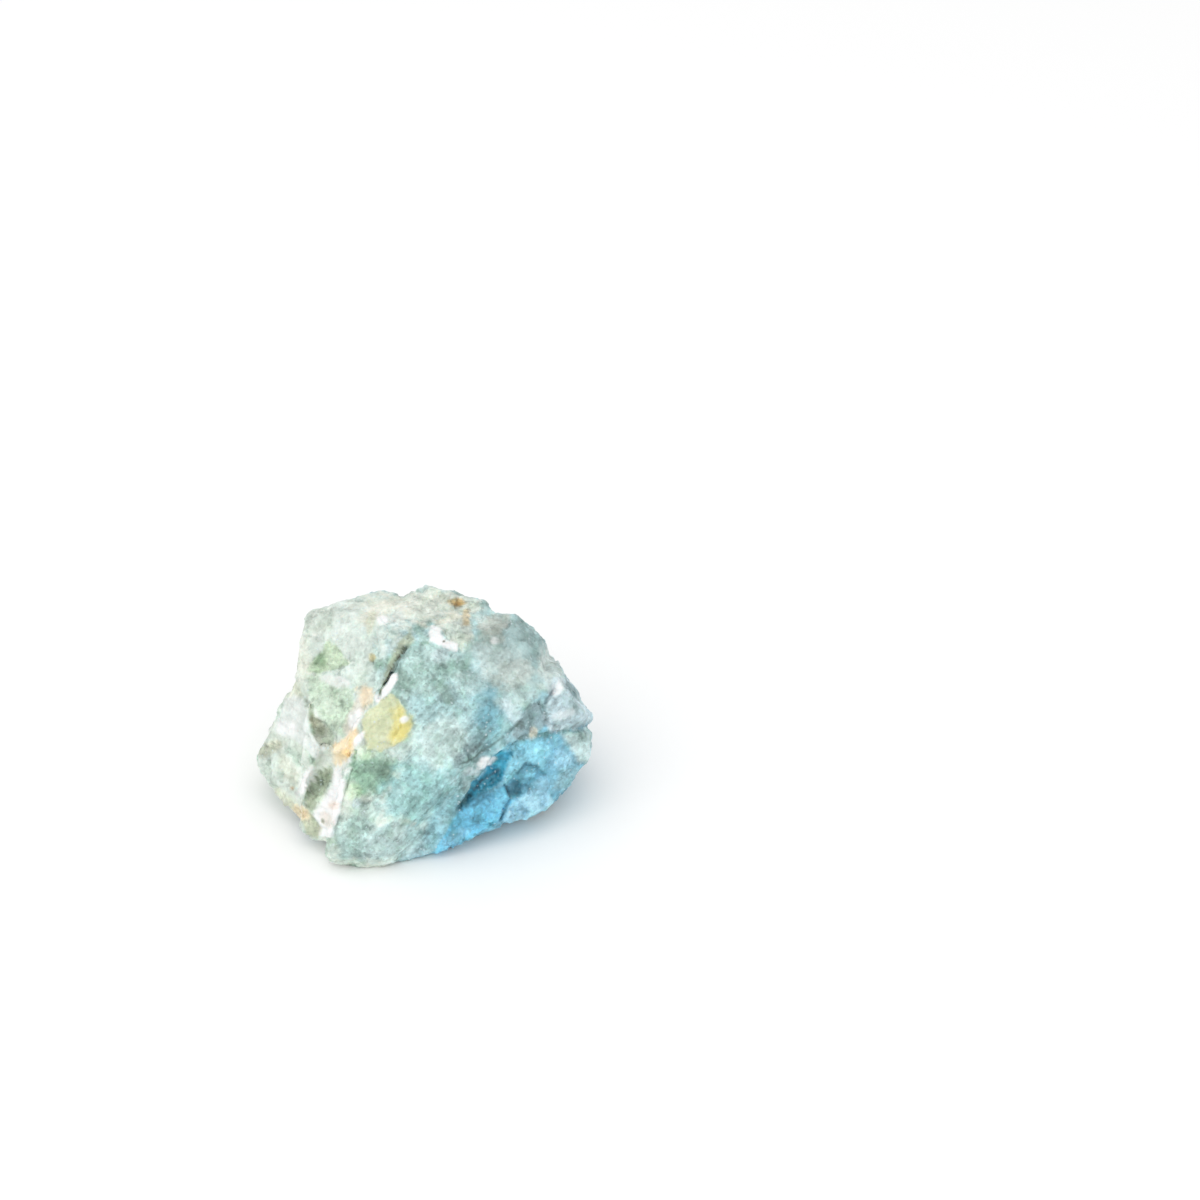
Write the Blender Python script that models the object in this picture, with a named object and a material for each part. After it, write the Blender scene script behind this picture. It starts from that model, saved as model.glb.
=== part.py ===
"""Rough aquamarine: one natural stone, pale blue-green beryl with a white feldspar vein.

The stone is cleaved out of a block, the way such a piece breaks out of its rock: one named
plane for each large face, then small chips along the edges, then the notches where the vein,
the crack and the stepped blue ledges lie behind the main face. A last pass gives the broken
surfaces their grain. The stone rests on a small flat spot, and +X is its longest side.
"""
import math
import random
from dataclasses import dataclass

import bmesh
import bpy
from mathutils import Vector

MM = 0.001

LENGTH = 42.4 * MM
BLOCK_SIDE = 90 * MM
HEART_HEIGHT = 11.5 * MM
REST_LEVEL = 0.4 * MM
FRONT_ELEVATION = math.radians(37.2)

CHIP_SEED = 11
CHIP_COUNT = 74
CHIP_DEPTH = (0.25 * MM, 1.15 * MM)
CHIP_LOWEST = -0.85

GRAIN_STEP = 0.42 * MM
LUMP_SIZE = 5.5 * MM
LUMP_RELIEF = 0.9 * MM
BREAK_SIZE = 1.9 * MM
BREAK_RELIEF = 0.55 * MM
KEPT_SHARE = 0.115

BERYL = (0.52, 0.70, 0.68, 1.0)
BERYL_ROUGHNESS = 0.42

RIGHT = Vector((1, 0, 0))
UPWARD = Vector((0, math.sin(FRONT_ELEVATION), math.cos(FRONT_ELEVATION)))
TOWARD = Vector((0, -math.cos(FRONT_ELEVATION), math.sin(FRONT_ELEVATION)))


@dataclass(frozen=True)
class Face:
    """A flat break: its outward direction and its distance from the stone's heart."""

    outward: Vector
    reach: float


def front_face(turn, lean, reach_mm):
    """Return a face set by how it turns about, and leans from, the line of sight."""
    spin = math.radians(turn)
    tilt = math.radians(lean)
    sideways = RIGHT * math.cos(spin) + UPWARD * math.sin(spin)
    return Face(TOWARD * math.cos(tilt) + sideways * math.sin(tilt), reach_mm * MM)


def face_through(turn, lean, right_mm, up_mm, toward_mm):
    """Return a face of the given turn and lean that passes through one point."""
    outward = front_face(turn, lean, 0).outward
    point = (RIGHT * right_mm + UPWARD * up_mm + TOWARD * toward_mm) * MM
    return Face(outward, outward.dot(point))


def compass_face(bearing, slope, reach_mm):
    """Return a face set by its bearing from +X towards +Y and its slope above level."""
    level = math.cos(math.radians(slope))
    around = math.radians(bearing)
    outward = Vector((level * math.cos(around), level * math.sin(around), math.sin(math.radians(slope))))
    return Face(outward, reach_mm * MM)


# The faces seen edge on, which give the outline from the front, anticlockwise from the right.
RIM_FACES = {
    "right_end": front_face(-2, 90, 21.1),
    "right_shoulder": front_face(32, 90, 18.6),
    "upper_right": front_face(61, 88, 18.5),
    "crest": front_face(91, 94, 18.1),
    "crest_left": front_face(103, 94, 18.6),
    "upper_left": front_face(121, 92, 20.0),
    "left_brow": front_face(146, 92, 20.0),
    "left_flank": front_face(158, 90, 19.0),
    "left_end": front_face(-161, 92, 21.5),
    "left_foot": front_face(-146, 90, 20.9),
    "vein_foot": front_face(-131, 90, 19.3),
    "front_foot_left": front_face(-116, 90, 20.0),
    "front_foot": front_face(-86, 92, 17.9),
    "blue_foot": front_face(-68, 90, 14.9),
    "blue_corner": front_face(-47, 94, 17.9),
    "right_foot": front_face(-28, 91, 20.7),
}

FRONT_FACES = {
    "main_face": front_face(268, 10, 10.9),
    "upper_face": front_face(60, 33, 12.3),
    "right_face": front_face(5, 46, 17.2),
    "blue_face": front_face(312, 47, 16.6),
    "top_face": front_face(90, 62, 14.7),
    "cap_face": front_face(128, 42, 15.2),
    "left_face": front_face(185, 42, 14.6),
    "left_lower_face": front_face(215, 48, 18.8),
    "front_under": front_face(272, 62, 18.0),
}

HIDDEN_FACES = {
    "back": compass_face(90, 5, 15.6),
    "back_right_top": compass_face(58, 36, 17.4),
    "back_left_top": compass_face(122, 30, 18.6),
    "back_right": compass_face(40, -12, 19.3),
    "back_left": compass_face(140, -8, 19.0),
    "under_right": compass_face(-30, -40, 18.4),
    "under_left": compass_face(210, -42, 20.2),
    "under_back": compass_face(90, -45, 15.6),
    "base_left": compass_face(186, -72, 13.5),
    "base_right": compass_face(-6, -74, 13.3),
    "base_back": compass_face(84, -68, 13.0),
}

# Each notch is what lies outside all of its walls.
NOTCHES = {
    "vein_gap": (
        front_face(165, 92, 7.4),
        face_through(228, 26, -9, -10, 6.2),
    ),
    "foot_step": (
        face_through(182, 88, -11.5, -14.6, 4),
        face_through(268, 86, -13, -13.7, 3),
    ),
    "lens_hollow": (
        face_through(149, 86, -12.3, -7.8, 5),
        face_through(329, 70, -13.6, -6.2, 5.4),
        face_through(236, 80, -11.2, -4.0, 5),
        face_through(240, 24, -14, -9, 2.0),
    ),
    "crack": (
        front_face(148, 90, 6.6),
        face_through(152, 24, -3, 9, 8.8),
    ),
    "left_drop": (
        face_through(176, 86, -14.0, 2, 5),
        face_through(194, 42, -15, 2, 3.6),
    ),
    "lobe_valley": (
        front_face(172, 88, 16.3),
        front_face(150, 90, 16.4),
    ),
    "blue_step": (
        face_through(326, 80, 3.4, -12.4, 8.0),
        face_through(305, 78, 8.9, -4.7, 9.0),
        face_through(305, 29, 8, -12, 5.6),
    ),
    "blue_fracture": (
        face_through(308, 80, 6.2, -7.6, 7.0),
        face_through(120, 68, 9.4, -9.4, 5.0),
        face_through(312, 30, 9, -8, 5.0),
    ),
    "low_ledge": (
        face_through(20, 72, 10.4, -9.5, 4.0),
        face_through(318, 36, 13, -10, 2.4),
    ),
    "split_right": (
        face_through(78, 82, 17.6, 0.1, 3),
        face_through(284, 74, 17.6, 0.5, 3),
    ),
    "shoulder_step": (
        face_through(14, 84, 15.6, 7.6, 2),
        face_through(74, 76, 15.6, 7.6, 2),
    ),
    "grey_facet": (
        face_through(313, 62, 12.7, 1.5, 9.4),
        face_through(190, 78, 15.6, 1.5, 8),
        face_through(300, 30, 13.5, 0.5, 8.4),
    ),
    "back_hollow": (
        Face(Vector((0.35, 0.86, 0.37)).normalized(), 12.9 * MM),
        Face(Vector((-0.72, 0.62, -0.3)).normalized(), 4.0 * MM),
    ),
    "back_ledge": (
        Face(Vector((0.12, 0.72, 0.68)).normalized(), 15.0 * MM),
        Face(Vector((0.82, 0.52, -0.2)).normalized(), 9.0 * MM),
    ),
}

# The yellow crystal stands a little proud of the main face: its middle, to the right, up and
# toward the viewer in millimetres, its size in millimetres, and how its faces turn and lean.
CRYSTAL_MIDDLE = (-3.6, 0.6, 9.8)
CRYSTAL_BLOCK = 11.6 * MM
CRYSTAL_RISE_MM = 1.05
CRYSTAL_TOP_TURN = 70
CRYSTAL_TOP_LEAN = 14
CRYSTAL_SIDES = 6
CRYSTAL_SIDE_TURN = 20
CRYSTAL_SIDE_LEAN = 52
CRYSTAL_SIDE_REACH_MM = 2.5


def clear_scene():
    """Remove every object that the scene starts with."""
    for thing in list(bpy.data.objects):
        bpy.data.objects.remove(thing, do_unlink=True)


def cleave(mesh, face, heart, keep_outside=False):
    """Cut a closed convex mesh along a face and close it again with a flat."""
    cut = bmesh.ops.bisect_plane(
        mesh,
        geom=mesh.verts[:] + mesh.edges[:] + mesh.faces[:],
        plane_co=heart + face.outward * face.reach,
        plane_no=face.outward,
        clear_outer=not keep_outside,
        clear_inner=keep_outside,
    )
    rim = [item for item in cut["geom_cut"] if isinstance(item, bmesh.types.BMEdge)]
    if rim:
        bmesh.ops.contextual_create(mesh, geom=rim)
        bmesh.ops.recalc_face_normals(mesh, faces=mesh.faces[:])


def new_block(heart, side):
    """Return a cube of raw material around the stone's heart."""
    mesh = bmesh.new()
    bmesh.ops.create_cube(mesh, size=side)
    bmesh.ops.translate(mesh, verts=mesh.verts[:], vec=heart)
    return mesh


def add_object(name, mesh):
    """Put a bmesh into a new object in the scene and free it."""
    data = bpy.data.meshes.new(name)
    mesh.to_mesh(data)
    mesh.free()
    thing = bpy.data.objects.new(name, data)
    bpy.context.scene.collection.objects.link(thing)
    return thing


def add_guide(name, mesh):
    """Put a bmesh into a hidden object that only shapes the stone."""
    guide = add_object(name, mesh)
    guide.hide_render = True
    guide.display_type = "WIRE"
    return guide


def chip_edges(mesh, heart):
    """Knock small flats off the corners and edges, at seeded directions all round."""
    dice = random.Random(CHIP_SEED)
    corners = [vert.co - heart for vert in mesh.verts]
    for _ in range(CHIP_COUNT):
        height = dice.uniform(CHIP_LOWEST, 1)
        around = dice.uniform(0, 2 * math.pi)
        level = math.sqrt(1 - height * height)
        outward = Vector((level * math.cos(around), level * math.sin(around), height))
        depth = dice.uniform(*CHIP_DEPTH)
        reach = max(corner.dot(outward) for corner in corners) - depth
        cleave(mesh, Face(outward, reach), heart)


def make_notch_cutter(name, walls, heart):
    """Make the hidden block that breaks one notch out of the stone."""
    mesh = new_block(heart, BLOCK_SIDE)
    for wall in walls:
        cleave(mesh, wall, heart, keep_outside=True)
    return add_guide(name, mesh)


def make_crystal(heart):
    """Make the yellow crystal as a low six-sided block that sinks into the main face."""
    right, up, toward = CRYSTAL_MIDDLE
    middle = heart + (RIGHT * right + UPWARD * up + TOWARD * toward) * MM
    mesh = new_block(middle, CRYSTAL_BLOCK)
    cleave(mesh, front_face(CRYSTAL_TOP_TURN, CRYSTAL_TOP_LEAN, CRYSTAL_RISE_MM), middle)
    for side in range(CRYSTAL_SIDES):
        turn = CRYSTAL_SIDE_TURN + side * 360 / CRYSTAL_SIDES
        cleave(mesh, front_face(turn, CRYSTAL_SIDE_LEAN, CRYSTAL_SIDE_REACH_MM), middle)
    return add_guide("yellow_crystal", mesh)


def add_boolean(stone, other, operation):
    """Join another solid to the stone, or cut it away."""
    boolean = stone.modifiers.new(other.name, "BOOLEAN")
    boolean.object = other
    boolean.operation = operation
    boolean.solver = "EXACT"


def add_relief(stone, name, size, relief):
    """Raise and sink the surface by a cloud pattern of one size."""
    pattern = bpy.data.textures.new(name, "CLOUDS")
    pattern.noise_scale = size
    displace = stone.modifiers.new(name, "DISPLACE")
    displace.texture = pattern
    displace.texture_coords = "LOCAL"
    displace.strength = relief
    displace.mid_level = 0.5


def add_grain(stone):
    """Give the breaks their uneven surface, then thin it to the faces that show."""
    remesh = stone.modifiers.new("even_skin", "REMESH")
    remesh.mode = "VOXEL"
    remesh.voxel_size = GRAIN_STEP
    add_relief(stone, "lumps", LUMP_SIZE, LUMP_RELIEF)
    add_relief(stone, "breaks", BREAK_SIZE, BREAK_RELIEF)
    thin = stone.modifiers.new("thin", "DECIMATE")
    thin.ratio = KEPT_SHARE


def make_beryl():
    """Return the stone's plain material."""
    beryl = bpy.data.materials.new("beryl")
    beryl.use_nodes = True
    shader = beryl.node_tree.nodes["Principled BSDF"]
    shader.inputs["Base Color"].default_value = BERYL
    shader.inputs["Roughness"].default_value = BERYL_ROUGHNESS
    shader.inputs["Metallic"].default_value = 0.0
    return beryl


def cut_resting_flat(stone):
    """Cut the small flat that the stone rests on."""
    mesh = bmesh.new()
    bmesh.ops.create_cube(mesh, size=BLOCK_SIDE)
    bmesh.ops.translate(mesh, verts=mesh.verts[:], vec=(0, 0, REST_LEVEL - BLOCK_SIDE / 2))
    add_boolean(stone, add_guide("resting_cut", mesh), "DIFFERENCE")


def settle(stone):
    """Bake the modifiers and set the stone, at its true length, over its own origin."""
    graph = bpy.context.evaluated_depsgraph_get()
    skin = bpy.data.meshes.new_from_object(stone.evaluated_get(graph))
    stone.modifiers.clear()
    mesh = bmesh.new()
    mesh.from_mesh(skin)
    low = Vector([min(vert.co[axis] for vert in mesh.verts) for axis in range(3)])
    high = Vector([max(vert.co[axis] for vert in mesh.verts) for axis in range(3)])
    scale = LENGTH / (high.x - low.x)
    foot = Vector(((low.x + high.x) / 2, (low.y + high.y) / 2, low.z))
    bmesh.ops.translate(mesh, verts=mesh.verts[:], vec=-foot)
    bmesh.ops.scale(mesh, verts=mesh.verts[:], vec=(scale, scale, scale))
    bmesh.ops.triangulate(mesh, faces=mesh.faces[:])
    mesh.to_mesh(stone.data)
    mesh.free()


def main():
    """Cleave, notch and grain the stone."""
    clear_scene()
    heart = Vector((0, 0, HEART_HEIGHT))
    mesh = new_block(heart, BLOCK_SIDE)
    for face in (*RIM_FACES.values(), *FRONT_FACES.values(), *HIDDEN_FACES.values()):
        cleave(mesh, face, heart)
    cleave(mesh, Face(Vector((0, 0, -1)), HEART_HEIGHT), heart)
    chip_edges(mesh, heart)
    stone = add_object("rough_aquamarine", mesh)
    for name, walls in NOTCHES.items():
        add_boolean(stone, make_notch_cutter(name, walls, heart), "DIFFERENCE")
    add_boolean(stone, make_crystal(heart), "UNION")
    add_grain(stone)
    cut_resting_flat(stone)
    settle(stone)
    stone.data.materials.append(make_beryl())


main()
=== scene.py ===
"""The looks of a rough aquamarine: a broken lump of pale beryl with a feldspar vein.

The stone is a fine closed skin over a ball of six square grids. Its form is a field, the distance
to named flat breaks less named notches, and the grid's points slide onto the field's zero level.
Relief, colour and gloss are then worked out for every point at once. Lengths of the form are in
millimetres from the stone's heart, and places on the front are pixels of the photograph.
"""
from __future__ import annotations

import logging
import math
import random
from dataclasses import dataclass, field
from enum import Enum, IntEnum
from itertools import cycle
from typing import Iterable, Sequence

import bpy
import numpy as np
from mathutils import Matrix, Vector

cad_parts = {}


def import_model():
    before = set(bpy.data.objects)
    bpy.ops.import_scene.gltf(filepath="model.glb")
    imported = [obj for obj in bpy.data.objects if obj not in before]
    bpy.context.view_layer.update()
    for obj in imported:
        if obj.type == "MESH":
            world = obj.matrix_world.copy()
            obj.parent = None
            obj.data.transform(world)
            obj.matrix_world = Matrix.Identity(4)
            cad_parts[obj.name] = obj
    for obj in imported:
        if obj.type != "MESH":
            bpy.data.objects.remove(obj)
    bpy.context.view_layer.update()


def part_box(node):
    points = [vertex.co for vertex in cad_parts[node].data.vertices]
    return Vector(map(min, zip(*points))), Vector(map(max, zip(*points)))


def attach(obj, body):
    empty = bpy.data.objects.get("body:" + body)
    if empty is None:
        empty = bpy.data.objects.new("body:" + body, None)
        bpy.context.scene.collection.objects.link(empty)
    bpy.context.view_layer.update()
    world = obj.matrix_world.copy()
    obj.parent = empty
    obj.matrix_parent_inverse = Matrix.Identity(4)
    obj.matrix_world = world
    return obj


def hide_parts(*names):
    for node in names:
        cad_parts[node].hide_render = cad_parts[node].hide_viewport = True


Array = np.ndarray
Pixel = tuple[float, float]
Colour = tuple[float, float, float]

LOG = logging.getLogger("aquamarine")
STONE_NODE = "rough_aquamarine"
METRES = 0.001

# The stone's own sight line: where its front looks.
FRONT_ELEVATION = math.radians(37.2)
RIGHT = np.array([1.0, 0.0, 0.0])
UPWARD = np.array([0.0, math.sin(FRONT_ELEVATION), math.cos(FRONT_ELEVATION)])
TOWARD = np.array([0.0, -math.cos(FRONT_ELEVATION), math.sin(FRONT_ELEVATION)])
DOWN = np.array([0.0, 0.0, -1.0])


class Seed(IntEnum):
    """The seeds of the drawn patterns."""

    LUMPS = 5
    FACETS = 7
    SMALL_FACETS = 8
    GRAIN = 9
    CHIPS = 11
    STROKES = 12
    BENDS = 21
    PATCHES = 23
    RELIEF_RIMS = 31
    CLOUDS = 41
    GREENS = 42
    TINT_RIMS = 51
    VEINS = 61
    STAINS = 62
    VEIN_GAPS = 63
    PATCH_RIMS = 71


def srgb(red: float, green: float, blue: float) -> Colour:
    """Turn an 8-bit display colour into linear light.

    Args:
        red: Red, 0 to 255.
        green: Green, 0 to 255.
        blue: Blue, 0 to 255.

    Returns:
        The linear colour: below the toe a straight line, above it a power of 2.4.
    """
    shares = [channel / 255 for channel in (red, green, blue)]
    return tuple(c / 12.92 if c <= 0.04045 else ((c + 0.055) / 1.055) ** 2.4 for c in shares)


def smoothstep(low: float, high: float, value: Array) -> Array:
    """Rise from 0 at low to 1 at high along 3t^2 - 2t^3."""
    share = np.clip((value - low) / (high - low), 0, 1)
    return share * share * (3 - 2 * share)


def placed(name: str, data: bpy.types.ID) -> bpy.types.Object:
    """Make an object of its data and put it into the scene."""
    made = bpy.data.objects.new(name, data)
    bpy.context.scene.collection.objects.link(made)
    return made


@dataclass(frozen=True)
class PhotoCamera:
    """The camera of the photograph, placed by where the stone's heart shows in it."""

    frame_side: float = 1200.0
    lens: float = 100.0
    sensor: float = 36.0
    elevation: float = 35.0
    heart_pixel: Pixel = (422.0, 728.0)
    pixels_per_mm: float = 7.976
    clip: tuple[float, float] = (0.01, 20.0)

    @property
    def focal(self) -> float:
        """The focal length in pixels."""
        return self.lens / self.sensor * self.frame_side

    @property
    def depth(self) -> float:
        """The heart's distance along the camera's axis, in millimetres."""
        return self.focal / self.pixels_per_mm

    @property
    def axes(self) -> tuple[Array, Array, Array]:
        """The camera's right, up and ahead directions."""
        tilt = math.radians(self.elevation)
        up = np.array([0.0, math.sin(tilt), math.cos(tilt)])
        ahead = np.array([0.0, math.cos(tilt), -math.sin(tilt)])
        return RIGHT, up, ahead

    @property
    def place(self) -> Array:
        """The camera's place, in millimetres from the heart."""
        right, up, ahead = self.axes
        off_middle = np.array(self.heart_pixel) - self.frame_side / 2
        across, down = off_middle / self.focal * self.depth
        return -self.depth * ahead - across * right + down * up

    def project(self, points: Array) -> Array:
        """Find the pixels where points show: the place across over the distance ahead.

        Args:
            points: Points in millimetres from the heart.

        Returns:
            A pixel for each point, x to the right and y down.
        """
        right, up, ahead = self.axes
        seen = points - self.place
        far = seen @ ahead
        middle = self.frame_side / 2
        x = middle + self.focal * (seen @ right) / far
        y = middle - self.focal * (seen @ up) / far
        return np.stack([x, y], axis=1)

    def add(self, heart: Array, scale: float) -> None:
        """Put the camera into the scene.

        Args:
            heart: Where the heart lies in the frame, in metres.
            scale: Metres for each of the form's millimetres.
        """
        data = bpy.data.cameras.new("photo_camera")
        data.lens = self.lens
        data.sensor_width = self.sensor
        data.clip_start, data.clip_end = self.clip
        camera = placed("photo_camera", data)
        right, up, ahead = (Vector(axis) for axis in self.axes)
        turn = Matrix((right, up, -ahead)).transposed()
        camera.matrix_world = Matrix.Translation(heart + self.place * scale) @ turn.to_4x4()
        bpy.context.scene.camera = camera


class GradientNoise:
    """Seeded gradient noise in space, for whole arrays of points."""

    LATTICE = 64
    GAIN = 1.6
    LAYER_SHIFT = 17.3

    def __init__(self, seed: int) -> None:
        """Draw one unit gradient for each cell of a repeating lattice."""
        rng = np.random.default_rng(seed)
        drawn = rng.normal(size=(self.LATTICE, self.LATTICE, self.LATTICE, 3))
        self.gradients = drawn / np.linalg.norm(drawn, axis=-1, keepdims=True)

    def at(self, points: Array, size: float) -> Array:
        """Blend the eight corner gradients around each point.

        Args:
            points: Points in space.
            size: The pattern's cell size.

        Returns:
            About -1 to 1 for each point: the corner gradients' slopes, faded by
            6t^5 - 15t^4 + 10t^3 along each axis.
        """
        scaled = points / size
        cell = np.floor(scaled).astype(int)
        inside = scaled - cell
        fade = inside**3 * (inside * (inside * 6 - 15) + 10)
        total = np.zeros(len(points))
        for corner in np.ndindex(2, 2, 2):
            step = np.array(corner)
            spot = (cell + step) % self.LATTICE
            slope = self.gradients[tuple(spot.T)]
            weight = np.prod(np.where(step, fade, 1 - fade), axis=1)
            total += weight * np.einsum("ij,ij->i", slope, inside - step)
        return total * self.GAIN

    def layered(self, points: Array, size: float, layers: int) -> Array:
        """Add layers of noise, each half the size and half the height of the last."""
        total = np.zeros(len(points))
        for layer in range(layers):
            share = 0.5**layer
            total += share * self.at(points + self.LAYER_SHIFT * layer, size * share)
        return total


class BrokenFacets:
    """Seeded flat facets, as on broken crystal: every cell of space tilts its own way."""

    LATTICE = 64

    def __init__(self, seed: int) -> None:
        """Draw one point, one tilt and one height for each lattice cell."""
        rng = np.random.default_rng(seed)
        cells = (self.LATTICE,) * 3
        self.points = rng.uniform(0, 1, size=(*cells, 3))
        tilts = rng.normal(size=(*cells, 3))
        self.tilts = tilts / np.linalg.norm(tilts, axis=-1, keepdims=True)
        self.heights = rng.uniform(-1, 1, size=cells)

    def at(self, points: Array, size: float) -> tuple[Array, Array]:
        """Find each point's facet, the cell whose own point is nearest.

        Args:
            points: Points in space.
            size: The facets' size.

        Returns:
            The facet's sloping height in facet sizes, and its own random level, -1 to 1.
        """
        scaled = points / size
        cell = np.floor(scaled).astype(int)
        best = np.full(len(points), np.inf)
        slope = np.zeros(len(points))
        level = np.zeros(len(points))
        for offset in np.ndindex(3, 3, 3):
            spot = cell + np.array(offset) - 1
            key = tuple((spot % self.LATTICE).T)
            away = scaled - spot - self.points[key]
            distance = np.linalg.norm(away, axis=1)
            nearer = distance < best
            best = np.where(nearer, distance, best)
            slope = np.where(nearer, np.einsum("ij,ij->i", away, self.tilts[key]), slope)
            level = np.where(nearer, self.heights[key], level)
        return slope, level


@dataclass(frozen=True)
class FlatBreak:
    """A flat break: its outward direction and its distance from the heart."""

    outward: tuple[float, float, float]
    reach: float


def front_face(turn: float, lean: float, reach: float) -> FlatBreak:
    """Set a break by how it turns about, and leans from, the sight line."""
    spin = math.radians(turn)
    tilt = math.radians(lean)
    sideways = RIGHT * math.cos(spin) + UPWARD * math.sin(spin)
    return FlatBreak(tuple(TOWARD * math.cos(tilt) + sideways * math.sin(tilt)), reach)


def face_through(turn: float, lean: float, right: float, up: float, toward: float) -> FlatBreak:
    """Set a break of the given turn and lean that passes through one point."""
    outward = np.array(front_face(turn, lean, 0).outward)
    return FlatBreak(tuple(outward), float(outward @ (RIGHT * right + UPWARD * up + TOWARD * toward)))


def compass_face(bearing: float, slope: float, reach: float) -> FlatBreak:
    """Set a break by its bearing from +X towards +Y and its slope above level."""
    around = math.radians(bearing)
    level = math.cos(math.radians(slope))
    outward = (level * math.cos(around), level * math.sin(around), math.sin(math.radians(slope)))
    return FlatBreak(outward, reach)


def free_face(outward: Sequence[float], reach: float) -> FlatBreak:
    """Set a break by any outward direction."""
    direction = np.array(outward, float)
    return FlatBreak(tuple(direction / np.linalg.norm(direction)), reach)


class BreakSet:
    """Several flat breaks as arrays, which measure points against all of them at once."""

    def __init__(self, breaks: Iterable[FlatBreak]) -> None:
        """Stack the breaks' directions and reaches."""
        listed = list(breaks)
        self.outward = np.array([item.outward for item in listed])
        self.reach = np.array([item.reach for item in listed])

    def outside(self, points: Array) -> Array:
        """Measure how far each point lies outside each break, one row for each break."""
        return self.outward @ points.T - self.reach[:, None]

    def farthest(self, points: Array) -> tuple[Array, Array]:
        """Find the largest measure for each point, and which way its break faces."""
        rows = self.outside(points)
        return self.picked(rows, rows.argmax(axis=0))

    def nearest(self, points: Array) -> tuple[Array, Array]:
        """Find the smallest measure for each point, and which way its break faces."""
        rows = self.outside(points)
        return self.picked(rows, rows.argmin(axis=0))

    def picked(self, rows: Array, index: Array) -> tuple[Array, Array]:
        """Take the measure and the direction of the break that is picked for each point."""
        return rows[index, np.arange(rows.shape[1])], self.outward[index]


def taken(where: Array, first: tuple[Array, Array], second: tuple[Array, Array]) -> tuple[Array, Array]:
    """Take the first measure and direction where told, and the second elsewhere."""
    return np.where(where, first[0], second[0]), np.where(where[:, None], first[1], second[1])


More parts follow.
